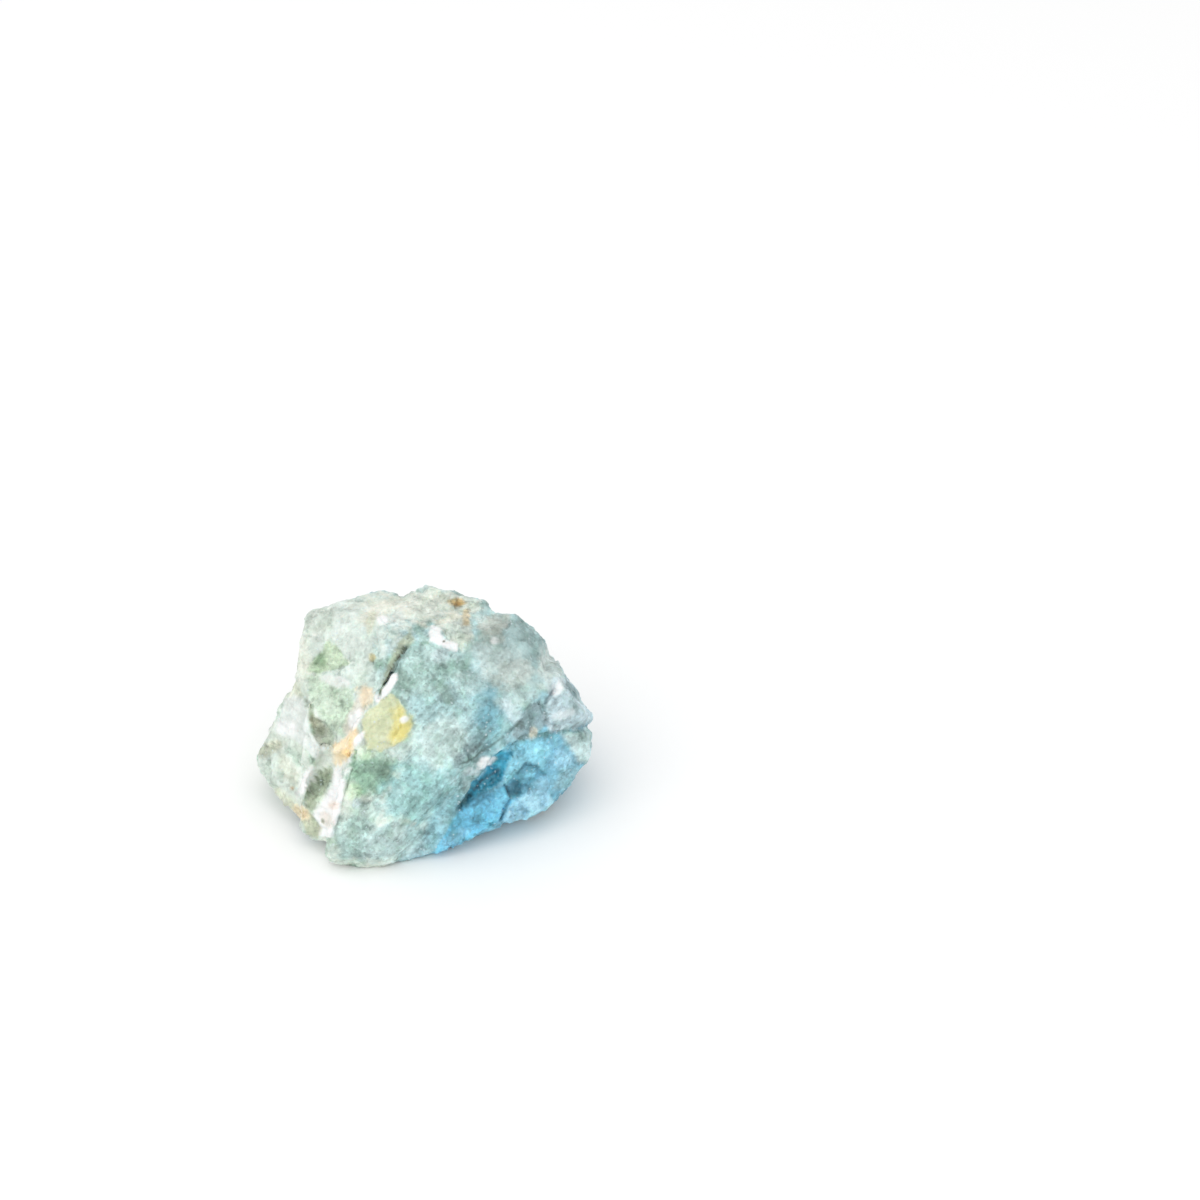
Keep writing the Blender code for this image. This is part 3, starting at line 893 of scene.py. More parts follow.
MARKS = {
    "cap": Mark(Spot((345, 628), (62, 42), 18), Palette.CAP, 0.9),
    "cap, grey corner": Mark(Spot((318, 622), (18, 14), 40), Palette.GREY_CREAM, 0.45),
    "crest, cream": Mark(Spot((425, 606), (66, 18), 4), Palette.CREAM, 0.6),
    "cap, left rim": Mark(Spot((300, 655), (10, 26), 10), Palette.CREAM, 0.4),
    "sparkling green": Mark(
        Area(((306, 676), (330, 676), (352, 690), (356, 708), (344, 740), (326, 726), (312, 706)), 3.0, 3.0),
        Palette.SPARK_GREEN, 0.85, -0.2,
    ),
    "leaf-green triangle": Mark(
        Area(((329, 638), (338, 650), (350, 664), (334, 670), (320, 673), (305, 671), (317, 657)), 1.2, 2.0),
        Palette.LEAF, 0.95, -0.45,
    ),
    "triangle, dark side": Mark(Spot((321, 662), (6, 13), -12), Palette.DEEP_LEAF, 0.5),
    "white above the sparkling green": Mark(Spot((334, 681), (14, 6), -15), Palette.WHITE, 0.6),
    "left rim, olive": Mark(Spot((292, 690), (9, 12), 20), Palette.OLIVE, 0.5),
    "white block": Mark(
        Area(((284, 700), (294, 694), (304, 701), (312, 732), (328, 748), (316, 760), (298, 742),
              (274, 730)), 2.2, 2.5),
        Palette.MILK, 0.9, 0.25,
    ),
    "white block, foot": Mark(Spot((285, 728), (9, 7), 20), Palette.WHITE, 0.6),
    "left lobe": Mark(Spot((276, 776), (25, 27)), Palette.LOBE, 0.9),
    "lobe, olive top": Mark(Spot((270, 748), (15, 6), 20), Palette.OLIVE, 0.6),
    "lobe, olive middle": Mark(Spot((290, 772), (7, 18), 25), Palette.OLIVE, 0.35),
    "lobe, olive foot": Mark(Spot((284, 800), (16, 7), -40), Palette.OLIVE, 0.6),
    "white beside the hollow": Mark(Spot((306, 782), (6, 16), -30), Palette.WHITE, 0.95),
    "brown wedge": Mark(
        Area(((306, 700), (312, 706), (313, 718), (323, 722), (335, 736), (331, 753), (320, 746),
              (312, 733), (310, 716)), 1.2, 1.5),
        Palette.BROWN, 0.45, -0.6,
    ),
    "brown wedge, dark end": Mark(Spot((316, 724), (5, 13), 35), Palette.BROWN, 0.5),
    "vein, pink top": Mark(
        Area(((346, 742), (344, 724), (352, 704), (362, 690), (372, 688), (366, 704), (360, 722),
              (356, 738)), 2.5, 3.0),
        Palette.PINK_WHITE, 0.7,
    ),
    "vein, orange": Mark(
        Area(((335, 742), (345, 738), (356, 724), (359, 732), (354, 746), (354, 754), (345, 764),
              (336, 765), (331, 758)), 2.0, 2.0),
        Palette.ORANGE, 0.9, -0.1,
    ),
    "vein, white": Mark(
        Area(((334, 768), (345, 762), (354, 752), (351, 772), (341, 808), (333, 838), (317, 836),
              (319, 824), (312, 815), (317, 810), (326, 797), (332, 784)), 1.3, 1.0),
        Palette.WHITE, 1.0, 0.12,
    ),
    "vein, pink spot": Mark(Spot((334, 806), (5, 4), 20), Palette.PINK, 0.5),
    "vein, pale foot": Mark(Spot((327, 820), (6, 9), 40), Palette.PINK_WHITE, 0.6),
    "vein, olive end": Mark(
        Area(((299, 812), (306, 806), (314, 818), (322, 828), (318, 838), (308, 836), (303, 824)), 1.5, 1.5),
        Palette.OLIVE, 0.8, -0.3,
    ),
    "vein, orange end": Mark(Spot((301, 812), (8, 6), -40), Palette.ORANGE, 0.7),
    # Partly the hollow's own grey green, partly painted shade in the recess.
    "lens-shaped hollow": Mark(
        Area(((330, 762), (333, 770), (329, 783), (323, 796), (315, 808), (311, 812), (304, 804),
              (306, 791), (314, 776)), 1.2, 0.6),
        Palette.HOLLOW_SHADE, 0.95, -0.3,
    ),
    "hollow, green side": Mark(Spot((320, 792), (4, 12), -25), Palette.SPARK_GREEN, 0.3),
    "orange above the crystal": Mark(Spot((367, 697), (8, 11), 20, ragged=0.8), Palette.ORANGE, 0.6),
    "moss": Mark(Spot((371, 772), (26, 20), 10), Palette.MOSS, 0.95),
    "moss, leaf green": Mark(Spot((352, 791), (8, 10)), Palette.DEEP_LEAF, 0.6),
    "moss, pale top": Mark(Spot((366, 752), (12, 8), 10), Palette.LEAF, 0.7),
    "main face, teal": Mark(Spot((418, 792), (42, 32), 45), Palette.TEAL, 0.85),
    "foot, sea green": Mark(Spot((386, 842), (48, 18), 8), Palette.SEA, 0.7),
    "foot, left green": Mark(Spot((350, 838), (16, 20)), Palette.LOW_GREEN, 0.8),
    "foot, grey green": Mark(Spot((364, 816), (20, 14), 10), Palette.DOME, 0.7),
    "foot, ice spot": Mark(Spot((356, 804), (4, 6), -20), Palette.ICE, 0.6),
    "foot, misty spot": Mark(Spot((398, 830), (7, 12), -20), Palette.MIST, 0.6),
    "vein, brown speck": Mark(Spot((323, 821), (1.5, 2)), Palette.BROWN, 0.8),
    "main face, mist": Mark(Spot((442, 742), (30, 22), 35), Palette.MIST, 0.85),
    "dome": Mark(Spot((426, 668), (38, 26), 20), Palette.DOME, 0.9),
    "dome, dark right": Mark(Spot((444, 692), (7, 15), 35), Palette.DEEP_MOSS, 0.6),
    "dome, dark left": Mark(Spot((403, 680), (7, 12), 20), Palette.DEEP_MOSS, 0.55),
    "moss, dark top": Mark(Spot((375, 768), (15, 7), 10), Palette.DEEP_MOSS, 0.55),
    "blue streak": Mark(Spot((490, 716), (16, 36), -6, 0.8), Palette.STREAK, 0.9),
    "blue streak, grey foot": Mark(Spot((474, 745), (24, 7), 48), Palette.FACET, 0.6),
    "blue band": Mark(Spot((446, 820), (14, 34), -35), Palette.BAND, 0.6),
    "shoulder, grey blue": Mark(Spot((515, 650), (38, 34)), Palette.GREY_BLUE, 0.9),
    "shoulder, mist": Mark(Spot((520, 690), (24, 16), 30), Palette.MIST, 0.6),
    "shoulder, pale grey": Mark(Spot((500, 664), (32, 18), -35), Palette.PALE_GREY, 0.45),
    "shoulder, cream grey": Mark(Spot((514, 674), (19, 15), 30), Palette.CREAM_GREY, 0.5),
    "shoulder, grey top": Mark(Spot((491, 632), (14, 12), ragged=0.6), Palette.GREY, 0.6),
    "shoulder, white spot": Mark(Spot((494, 641), (4, 4)), Palette.WHITE, 0.6),
    "ice under the white lump": Mark(Spot((444, 655), (13, 7), 10), Palette.ICE, 0.5),
    "dome, misty side": Mark(Spot((470, 684), (20, 10), 10), Palette.MIST, 0.4),
    "shoulder, dark rim": Mark(Spot((547, 664), (6, 14), -25), Palette.FACET, 0.35),
    "ice beside the streak": Mark(Spot((513, 714), (6, 16), 35), Palette.ICE, 0.5),
    "main face, misty spot": Mark(Spot((432, 727), (9, 5), 25), Palette.MIST, 0.8),
    "shelf, grey end": Mark(Spot((494, 624), (16, 9), 20), Palette.GREY, 0.75),
    "cream shelf": Mark(
        Area(((434, 622), (452, 612), (470, 618), (474, 636), (462, 652), (446, 640)), 3.5, 3.0),
        Palette.CREAM, 0.5, 0.15,
    ),
    "shelf, tan streak": Mark(Spot((466, 617), (4, 8)), Palette.TAN, 0.55),
    "crest, tan pit": Mark(Spot((457, 602), (8, 4), -8), Palette.TAN, 0.9),
    "crest, rust": Mark(Spot((457, 604), (4, 2)), Palette.RUST, 0.6),
    "crack, pale wedge": Mark(
        Area(((410, 630), (416, 640), (405, 649), (388, 678), (380, 690), (388, 662), (398, 644)), 2.0, 1.5),
        Palette.WEDGE, 0.65, -0.15,
    ),
    # Painted shadow: the dark line that the dome casts into the crack.
    "crack": Mark(
        Line(((405, 648), (399, 658), (392, 670), (384, 684)), width=1.9),
        Palette.CRACK_SHADE_AND_SPECK, 0.95, -1.2,
    ),
    # Painted shade in the crack's thin lower end.
    "crack, thin end": Mark(
        Line(((384, 684), (381, 690), (378, 699)), width=0.9),
        Palette.BROWN, 0.9, -0.4,
    ),
    "shelf, dark foot": Mark(Line(((406, 647), (416, 643), (428, 643)), width=1.4), Palette.DEEP_MOSS, 0.6),
    "white lump": Mark(
        Area(((429, 632), (432, 626), (440, 628), (446, 640), (458, 644), (458, 652), (446, 648),
              (430, 641)), 1.5, 1.5),
        Palette.WHITE, 0.95, 0.35,
    ),
    "white sliver": Mark(
        Area(((391, 674), (398, 672), (397, 680), (389, 694), (381, 700), (382, 690)), 1.2, 1.0),
        Palette.WHITE, 0.95, 0.35,
    ),
    "sliver, lower end": Mark(Spot((378, 699), (4, 5), 15), Palette.WHITE, 0.9),
    "vein, white top lump": Mark(Spot((355, 719), (6, 11), -20), Palette.WHITE, 0.85, 0.25),
    "yellow crystal": Mark(CRYSTAL, Palette.LEMON, 0.85, 0.3),
    "crystal, bright side": Mark(
        Area(((390, 710), (398, 706), (408, 714), (414, 725), (408, 737), (394, 744), (388, 738),
              (394, 724)), 4.0, 4.0),
        Palette.YELLOW, 0.75,
    ),
    "crystal, deep yellow": Mark(Spot((402, 731), (10, 5), 35), Palette.DEEP_YELLOW, 0.3),
    "crystal, white spot": Mark(Spot((405, 719), (4.5, 3.6), 20), Palette.WHITE, 0.95),
    "white beside the crystal": Mark(Spot((359, 739), (3.5, 8), -35), Palette.WHITE, 0.95, 0.3),
    # Painted shade: this facet faces away from the light, so it is laid dark grey.
    "grey facet": Mark(
        Area(((510, 735), (530, 704), (541, 701), (547, 724), (524, 744)), 1.5, 2.0),
        Palette.FACET, 0.85, -0.35,
    ),
    "cream under the grey facet": Mark(Spot((533, 735), (4, 8)), Palette.CREAM, 0.75),
    "right rim, pale grey": Mark(Spot((553, 668), (16, 24)), Palette.PALE_GREY, 0.85),
    "right block": Mark(
        Area(((547, 699), (553, 677), (575, 678), (604, 702), (604, 722), (582, 727), (569, 730),
              (549, 733), (543, 716)), 1.5, 1.5),
        Palette.BLOCK, 0.9, 0.3,
    ),
    "blue corner": Mark(
        Area(((460, 806), (472, 786), (486, 762), (512, 746), (548, 734), (588, 732), (586, 766),
              (556, 792), (535, 816), (505, 822), (470, 840), (436, 860)), 3.0),
        Palette.BLUE, 0.95,
    ),
    "right lobe, mist": Mark(
        Area(((562, 734), (584, 728), (606, 736), (606, 770), (580, 764)), 3.0),
        Palette.MIST, 0.85,
    ),
    "right lobe, sea green": Mark(Spot((568, 780), (16, 12), 40), Palette.SEA, 0.45),
    "blue corner, bright middle": Mark(
        Area(((500, 750), (520, 740), (545, 741), (552, 752), (541, 774), (520, 780), (503, 784),
              (508, 766)), 2.0, 2.0),
        Palette.MIDDLE_BLUE, 0.9,
    ),
    # Dark teal: partly the fracture's own colour, partly painted shade in the recess.
    "dark fracture": Mark(
        Area(((459, 808), (466, 796), (472, 783), (483, 773), (489, 761), (501, 751), (513, 751),
              (509, 764), (501, 780), (493, 787), (479, 793), (466, 805)), 1.2, 2.0),
        Palette.DARK_TEAL, 0.95, -0.9,
    ),
    "blue pocket": Mark(
        Area(((507, 785), (513, 777), (519, 771), (524, 763), (536, 767), (546, 776), (534, 781),
              (527, 792), (520, 799), (511, 801)), 1.2, 2.0),
        Palette.DEEP_TEAL, 0.85, -0.6,
    ),
    # Painted shade on the pocket's floor and along its rim.
    "pocket floor, painted shade": Mark(Spot((516, 790), (7, 8)), Palette.POCKET_SHADE, 0.75),
    "pocket rim, painted shade": Mark(
        Line(((518, 772), (526, 763), (536, 766), (546, 775)), width=1.6),
        Palette.POCKET_SHADE, 0.7,
    ),
    "pocket, bright spot": Mark(Spot((531, 774), (6, 4), 20), Palette.MIDDLE_BLUE, 0.7),
    "blue slab": Mark(
        Area(((459, 811), (466, 804), (483, 794), (505, 786), (508, 796), (514, 802), (504, 810),
              (499, 821), (477, 834), (452, 850), (430, 858)), 1.2, 1.5),
        Palette.SLAB, 0.95, 0.3,
    ),
    "slab, deep top": Mark(Spot((476, 800), (16, 5), 28), Palette.DEEP_BLUE, 0.65),
    "slab, pale foot": Mark(Spot((455, 838), (16, 6), 35), Palette.PALE_SLAB, 0.5),
    "pale slab": Mark(
        Area(((503, 822), (507, 807), (519, 796), (531, 789), (548, 792), (553, 802), (535, 816),
              (520, 823)), 1.5, 1.5),
        Palette.PALE_SLAB, 0.95, 0.35,
    ),
    "pale lump, right": Mark(Spot((561, 760), (11, 10)), Palette.PALE_SLAB, 0.8, 0.35),
    "pale lump, low": Mark(Spot((541, 784), (8, 8)), Palette.PALE_SLAB, 0.8, 0.35),
    "white lump at the fracture": Mark(Spot((484, 763), (8, 5), 20, ragged=0.7), Palette.WHITE, 0.85),
    "ice lump at the fracture": Mark(Spot((470, 772), (9, 4), -10, ragged=0.7), Palette.ICE, 0.85),
    # Painted shadow along the fracture's edge.
    "fracture, painted shadow line": Mark(
        Line(((461, 808), (472, 792), (482, 780), (498, 770)), width=1.8),
        Palette.CRACK_SHADE_BLUE, 0.8,
    ),
    # Painted shade in the crack between the slabs.
    "painted shade between the slabs": Mark(
        Line(((505, 786), (511, 798), (504, 811), (500, 820)), width=1.4),
        Palette.CRACK_SHADE_BLUE, 0.7,
    ),
    # Painted shadow line over the fracture.
    "painted shadow over the fracture": Mark(
        Line(((460, 764), (471, 760), (482, 751), (492, 745), (503, 737)), width=1.5),
        Palette.SHADE_AND_SPECKS, 0.75,
    ),
    # Painted shade in the right block's cracks.
    "block, painted shade in the upper crack": Mark(
        Line(((545, 704), (549, 697), (555, 689)), width=1.7),
        Palette.CRACK_SHADE_BLUE, 0.85,
    ),
    # Painted shade in the block's left crack.
    "block, painted shade in the left crack": Mark(
        Line(((541, 703), (546, 714), (547, 724)), width=1.2),
        Palette.SHADE_AND_SPECKS, 0.8,
    ),
    # Painted shade at the grey facet's foot.
    "grey facet, painted shade at the foot": Mark(
        Line(((509, 733), (514, 727), (520, 722)), width=1.8),
        Palette.SHADE_AND_SPECKS, 0.7,
    ),
    "block, white top": Mark(Spot((559, 688), (5, 9), -30), Palette.WHITE, 0.75),
    "block, grey edge": Mark(Spot((571, 688), (11, 4), -40), Palette.FACET, 0.8),
    "block, white foot": Mark(Spot((564, 714), (12, 4), 20), Palette.WHITE, 0.4),
    "crest, olive streak": Mark(Spot((371, 622), (4, 12), -10), Palette.OLIVE, 0.5),
    "crest, white spot": Mark(Spot((383, 620), (6, 5)), Palette.WHITE, 0.95, 0.3),
    "crest, ice": Mark(Spot((396, 618), (8, 9), 20), Palette.ICE, 0.35),
    "lobe, rust speck": Mark(Spot((293, 788), (2.4, 1.6), 20, ragged=0.8), Palette.RUST, 0.7),
    "ochre speck": Mark(Spot((373, 658), (3, 4.4), ragged=0.8), Palette.OCHRE, 0.8),
    "vein, amber": Mark(Spot((345, 753), (5, 4), 30), Palette.AMBER, 0.6),
    "vein, rust": Mark(Spot((348, 756), (1.8, 3.6), -20, ragged=0.7), Palette.RUST, 0.9),
    "white lump, dark speck": Mark(Spot((444, 641), (1.4, 1.2)), Palette.CRACK_SHADE_AND_SPECK, 0.9),
    "block, upper cut": Mark(Line(((545, 704), (549, 697), (555, 689)), width=1.8), rise=-0.5),
    "pocket, floor": Mark(Spot((516, 791), (7, 8)), rise=-0.5),
    "fracture, upper lump": Mark(Spot((484, 763), (8, 6), 20, ragged=0.7), rise=0.3),
    "fracture, lower lump": Mark(Spot((470, 772), (9, 5), -10, ragged=0.7), rise=0.3),
    "fracture, cut": Mark(Line(((461, 808), (472, 792), (482, 780), (498, 770)), width=2.2), rise=-0.6),
    "slabs, cut": Mark(Line(((505, 786), (511, 798), (504, 811), (500, 820)), width=1.6), rise=-0.6),
    "blue corner, upper cut": Mark(
        Line(((512, 748), (530, 738), (548, 734), (566, 730), (583, 726)), width=1.9), rise=-0.5,
    ),
    "block, left cut": Mark(Line(((541, 700), (547, 722)), width=1.6), rise=-0.5),
    "vein, lower cut": Mark(Line(((355, 751), (350, 772), (341, 808), (333, 838)), width=1.3), rise=-0.5),
    "shelf, foot": Mark(
        Line(((406, 647), (416, 643), (428, 643), (440, 650), (452, 654)), width=1.4), rise=-0.3,
    ),
    "triangle, ridge": Mark(Line(((327, 648), (328, 672)), width=1.2), rise=0.25),
    "cap, groove": Mark(Line(((372, 660), (377, 642), (372, 626)), width=1.6), rise=-0.25),
    "crystal, edge": Mark(Line(((390, 744), (401, 726), (398, 702)), width=1.2), rise=-0.2),
    "shoulder, groove": Mark(Line(((520, 612), (536, 640), (548, 668)), width=1.8), rise=-0.25),
    "lobe, groove": Mark(Line(((262, 746), (286, 752), (306, 770)), width=1.6), rise=-0.3),
}


HIDDEN_COLOURS = (
    Palette.MIST, Palette.OLIVE, Palette.TEAL, Palette.WHITE, Palette.MOSS, Palette.STREAK,
    Palette.CREAM, Palette.DARK_TEAL, Palette.SPARK_GREEN, Palette.FACET, Palette.ICE, Palette.DOME,
    Palette.LEAF, Palette.SLAB, Palette.LOBE, Palette.GREY, Palette.PALE_SLAB, Palette.LEMON,
)


def laid(colours: Array, colour: Colour, weight: Array) -> Array:
    """Lay a colour over others, by a weight for each point."""
    share = weight[:, None]
    return (1 - share) * colours + share * np.array(colour)


@dataclass
class StoneColours:
    """Paints the skin: broad colour from place and noise, then the named marks, some of them painted shade.
    """

    skin: StoneSkin
    cloud_size: float = 7.0
    green_size: float = 4.0
    sea_edge: tuple[float, float] = (-9, 2)
    sea_lean: float = 0.4
    sea_waver: float = 4
    blue_edge: tuple[float, float] = (4, 15)
    blue_waver: float = 5
    moss_edge: tuple[float, float] = (0.15, 0.6)
    moss_share: float = 0.5
    rim_size: float = 1.5
    front_edge: tuple[float, float] = (-0.25, 0.15)
    patch_share: float = 0.8
    back_edge: tuple[float, float] = (-0.45, -0.05)
    vein_size: float = 9.0
    vein_squash: tuple[float, float, float] = (1.0, 1.0, 0.6)
    vein_width: tuple[float, float] = (0.02, 0.08)
    gap_size: float = 8.0
    gap_edge: tuple[float, float] = (-0.1, 0.3)
    stain_size: float = 3.0
    stain_edge: tuple[float, float] = (0.5, 0.75)
    stain_share: float = 0.6
    facet_share: float = 0.07

    def noise(self, seed: Seed, size: float, layers: int = 3) -> Array:
        """Find layered noise for every point of the skin."""
        return GradientNoise(seed).layered(self.skin.points, size, layers)

    def broad(self) -> Array:
        """Mix the colours that run through the whole stone.

        Returns:
            A colour for each point: pale green on the left, sea green to the right and blue
            low on the right and behind, with cloudy edges between them.
        """
        points = self.skin.points
        cloud = self.noise(Seed.CLOUDS, self.cloud_size)
        green = self.noise(Seed.GREENS, self.green_size)
        across = points @ RIGHT
        sea = across + self.sea_lean * (points @ UPWARD) + self.sea_waver * cloud
        blue = across - points[:, 2] + self.blue_waver * green
        colours = laid(np.array(Palette.PALE_GREEN), Palette.SEA, smoothstep(*self.sea_edge, sea))
        colours = laid(colours, Palette.BLUE, smoothstep(*self.blue_edge, blue))
        return laid(colours, Palette.MOSS, self.moss_share * smoothstep(*self.moss_edge, green))

    def painted(self) -> Array:
        """Paint the whole skin: the marks in front, and patches, veins and stains elsewhere."""
        facing = self.skin.normals @ TOWARD
        front = smoothstep(*self.front_edge, facing)
        colours = self.marked(self.broad(), front)
        for mask, colour in zip(self.skin.patches.masks, cycle(HIDDEN_COLOURS)):
            colours = laid(colours, colour, self.patch_share * mask * (1 - front))
        colours = self.veined(colours, 1 - smoothstep(*self.back_edge, facing))
        return np.clip(colours * (1 + self.facet_share * self.skin.facet_level[:, None]), 0, 1)

    def marked(self, colours: Array, front: Array) -> Array:
        """Lay the named marks on the front, one over another."""
        ragged = self.noise(Seed.TINT_RIMS, self.rim_size)
        pixels = self.skin.pixels
        for mark in MARKS.values():
            if mark.colour:
                weight = mark.strength * mark.patch.mask(pixels, ragged) * front
                colours = laid(colours, mark.colour, weight)
        return colours

    def veined(self, colours: Array, back: Array) -> Array:
        """Draw pale veins, where noise crosses zero, and tan stains on the hidden sides."""
        squashed = self.skin.points * np.array(self.vein_squash)
        vein = np.abs(GradientNoise(Seed.VEINS).layered(squashed, self.vein_size, 3))
        gaps = smoothstep(*self.gap_edge, self.noise(Seed.VEIN_GAPS, self.gap_size, 2))
        colours = laid(colours, Palette.VEIN, back * gaps * (1 - smoothstep(*self.vein_width, vein)))
        stain = smoothstep(*self.stain_edge, self.noise(Seed.STAINS, self.stain_size))
        return laid(colours, Palette.TAN, self.stain_share * back * stain)


class Wire:
    """A shader socket whose operators add Math nodes."""

    def __init__(self, graph: "ShaderGraph", socket: bpy.types.NodeSocket) -> None:
        """Keep the graph and the socket."""
        self.graph = graph
        self.socket = socket

    def __add__(self, other: "Wire | float") -> "Wire":
        """Add."""
        return self.graph.math("ADD", self, other)

    __radd__ = __add__

    def __sub__(self, other: "Wire | float") -> "Wire":
        """Take away."""
        return self.graph.math("SUBTRACT", self, other)

    def __rsub__(self, other: "Wire | float") -> "Wire":
        """Take this away from a number."""
        return self.graph.math("SUBTRACT", other, self)

    def __mul__(self, other: "Wire | float") -> "Wire":
        """Multiply."""
        return self.graph.math("MULTIPLY", self, other)

    __rmul__ = __mul__

    def step(self, low: float, high: float) -> "Wire":
        """Rise smoothly from 0 at low to 1 at high."""
        sockets = {"Value": self, "From Min": low, "From Max": high}
        return self.graph.wire("ShaderNodeMapRange", "Result", sockets, interpolation_type="SMOOTHSTEP")

    def beside(self, output: str) -> "Wire":
        """Take another output of the same node."""
        return Wire(self.graph, self.socket.node.outputs[output])


class Blend(Enum):
    """How one colour is laid over another."""

    COVER = "MIX"
    DARKEN = "MULTIPLY"
    BRIGHTEN = "SCREEN"


class ShaderGraph:
    """A material's node tree, with one way to add each kind of node."""

    MIX_FACTOR, MIX_FIRST, MIX_SECOND, MIX_RESULT = 0, 6, 7, 2
    UNEVEN = 0.7

    def __init__(self, name: str) -> None:
        """Make a material and keep its Principled shader."""
        self.material = bpy.data.materials.new(name)
        self.material.use_nodes = True
        self.nodes = self.material.node_tree.nodes
        self.links = self.material.node_tree.links
        self.shader = self.nodes["Principled BSDF"]

    def plug(self, socket: bpy.types.NodeSocket, value: object) -> None:
        """Link a wire to a socket, or set a plain value on it."""
        if isinstance(value, Wire):
            self.links.new(value.socket, socket)
        elif isinstance(value, tuple) and len(value) == 3 and socket.type == "RGBA":
            socket.default_value = (*value, 1.0)
        else:
            socket.default_value = value

    def wire(self, kind: str, output: str | int, sockets: dict, **settings: str) -> Wire:
        """Add a node and take one of its outputs.

        Args:
            kind: The node's type.
            output: The output's name or number.
            sockets: The inputs' values or wires, by name or number.
            settings: The node's own settings, which are set first.

        Returns:
            The output's wire.
        """
        node = self.nodes.new(kind)
        for name, value in settings.items():
            setattr(node, name, value)
        for key, value in sockets.items():
            self.plug(node.inputs[key], value)
        return Wire(self, node.outputs[output])

    def dressed(self, sockets: dict) -> bpy.types.Material:
        """Set the Principled shader's sockets by name, and give the finished material."""
        for name, value in sockets.items():
            self.plug(self.shader.inputs[name], value)
        return self.material

    def math(self, operation: str, first: Wire | float, second: Wire | float) -> Wire:
        """Add a Math node."""
        return self.wire("ShaderNodeMath", 0, {0: first, 1: second}, operation=operation)

    def vector(self, operation: str, *inputs: object, output: str = "Vector") -> Wire:
        """Add a Vector Math node."""
        sockets = dict(enumerate(inputs))
        return self.wire("ShaderNodeVectorMath", output, sockets, operation=operation)

    def mix(self, factor: Wire | float, first: object, second: object, blend: Blend = Blend.COVER) -> Wire:
        """Lay the second colour over the first."""
        sockets = {self.MIX_FACTOR: factor, self.MIX_FIRST: first, self.MIX_SECOND: second}
        settings = {"data_type": "RGBA", "blend_type": blend.value}
        return self.wire("ShaderNodeMix", self.MIX_RESULT, sockets, **settings)

    def attribute(self, name: str, output: str = "Fac") -> Wire:
        """Read one of the mesh's attributes."""
        return self.wire("ShaderNodeAttribute", output, {}, attribute_name=name)

    def millimetres(self) -> Wire:
        """Give the place on the stone, in millimetres."""
        return self.vector("MULTIPLY", self.wire("ShaderNodeTexCoord", "Object", {}), (1 / METRES,) * 3)

    def moved(self, place: Wire, offset: float) -> Wire:
        """Shift a place, so that a second pattern doesn't follow the first."""
        return self.vector("ADD", place, (offset, -offset, self.UNEVEN * offset))

    def warped(self, place: Wire, size: float, reach: float) -> Wire:
        """Bend a place by coloured noise of a feature size, up to a reach in millimetres."""
        sockets = {"Vector": place, "Scale": 1 / size, "Detail": 2.0}
        noise = self.wire("ShaderNodeTexNoise", "Color", sockets)
        return self.vector("MULTIPLY_ADD", noise, (2 * reach,) * 3, place)

    def cells(self, place: Wire, size: float, output: str = "Distance") -> Wire:
        """Add a cell pattern of a cell size in millimetres."""
        return self.wire("ShaderNodeTexVoronoi", output, {"Vector": place, "Scale": 1 / size})

    def facets(self, place: Wire, size: float) -> Wire:
        """Give each cell a flat slope: the way from its own point along a drawn direction."""
        middle = self.cells(place, size, "Position")
        away = self.vector("SUBTRACT", place, middle)
        drawn = self.vector("SUBTRACT", middle.beside("Color"), (0.5, 0.5, 0.5))
        return self.vector("DOT_PRODUCT", away, drawn, output="Value")

    def bump(self, height: Wire, distance_mm: float, strength: float, below: Wire | None = None) -> Wire:
        """Add a Bump node on top of another."""
        sockets = {"Height": height, "Distance": distance_mm * METRES, "Strength": strength}
        if below is not None:
            sockets["Normal"] = below
        return self.wire("ShaderNodeBump", "Normal", sockets)


@dataclass(frozen=True)
class Cloud:
    """Cloudy noise of the finish: its size in millimetres, its layers, and its contrast."""

    size: float
    detail: float = 3.0
    roughness: float = 0.55
    offset: float = 0.0
    contrast: float = 0.0

    def wire(self, graph: ShaderGraph, place: Wire) -> Wire:
        """Add the noise, at its own offset."""
        sockets = {
            "Vector": graph.moved(place, self.offset),
            "Scale": 1 / self.size,
            "Detail": self.detail,
            "Roughness": self.roughness,
        }
        return graph.wire("ShaderNodeTexNoise", "Fac", sockets)

    def shade(self, noise: Wire) -> Wire:
        """Turn the noise into a lighter or darker shade round zero."""
        return self.contrast * (noise - 0.5)


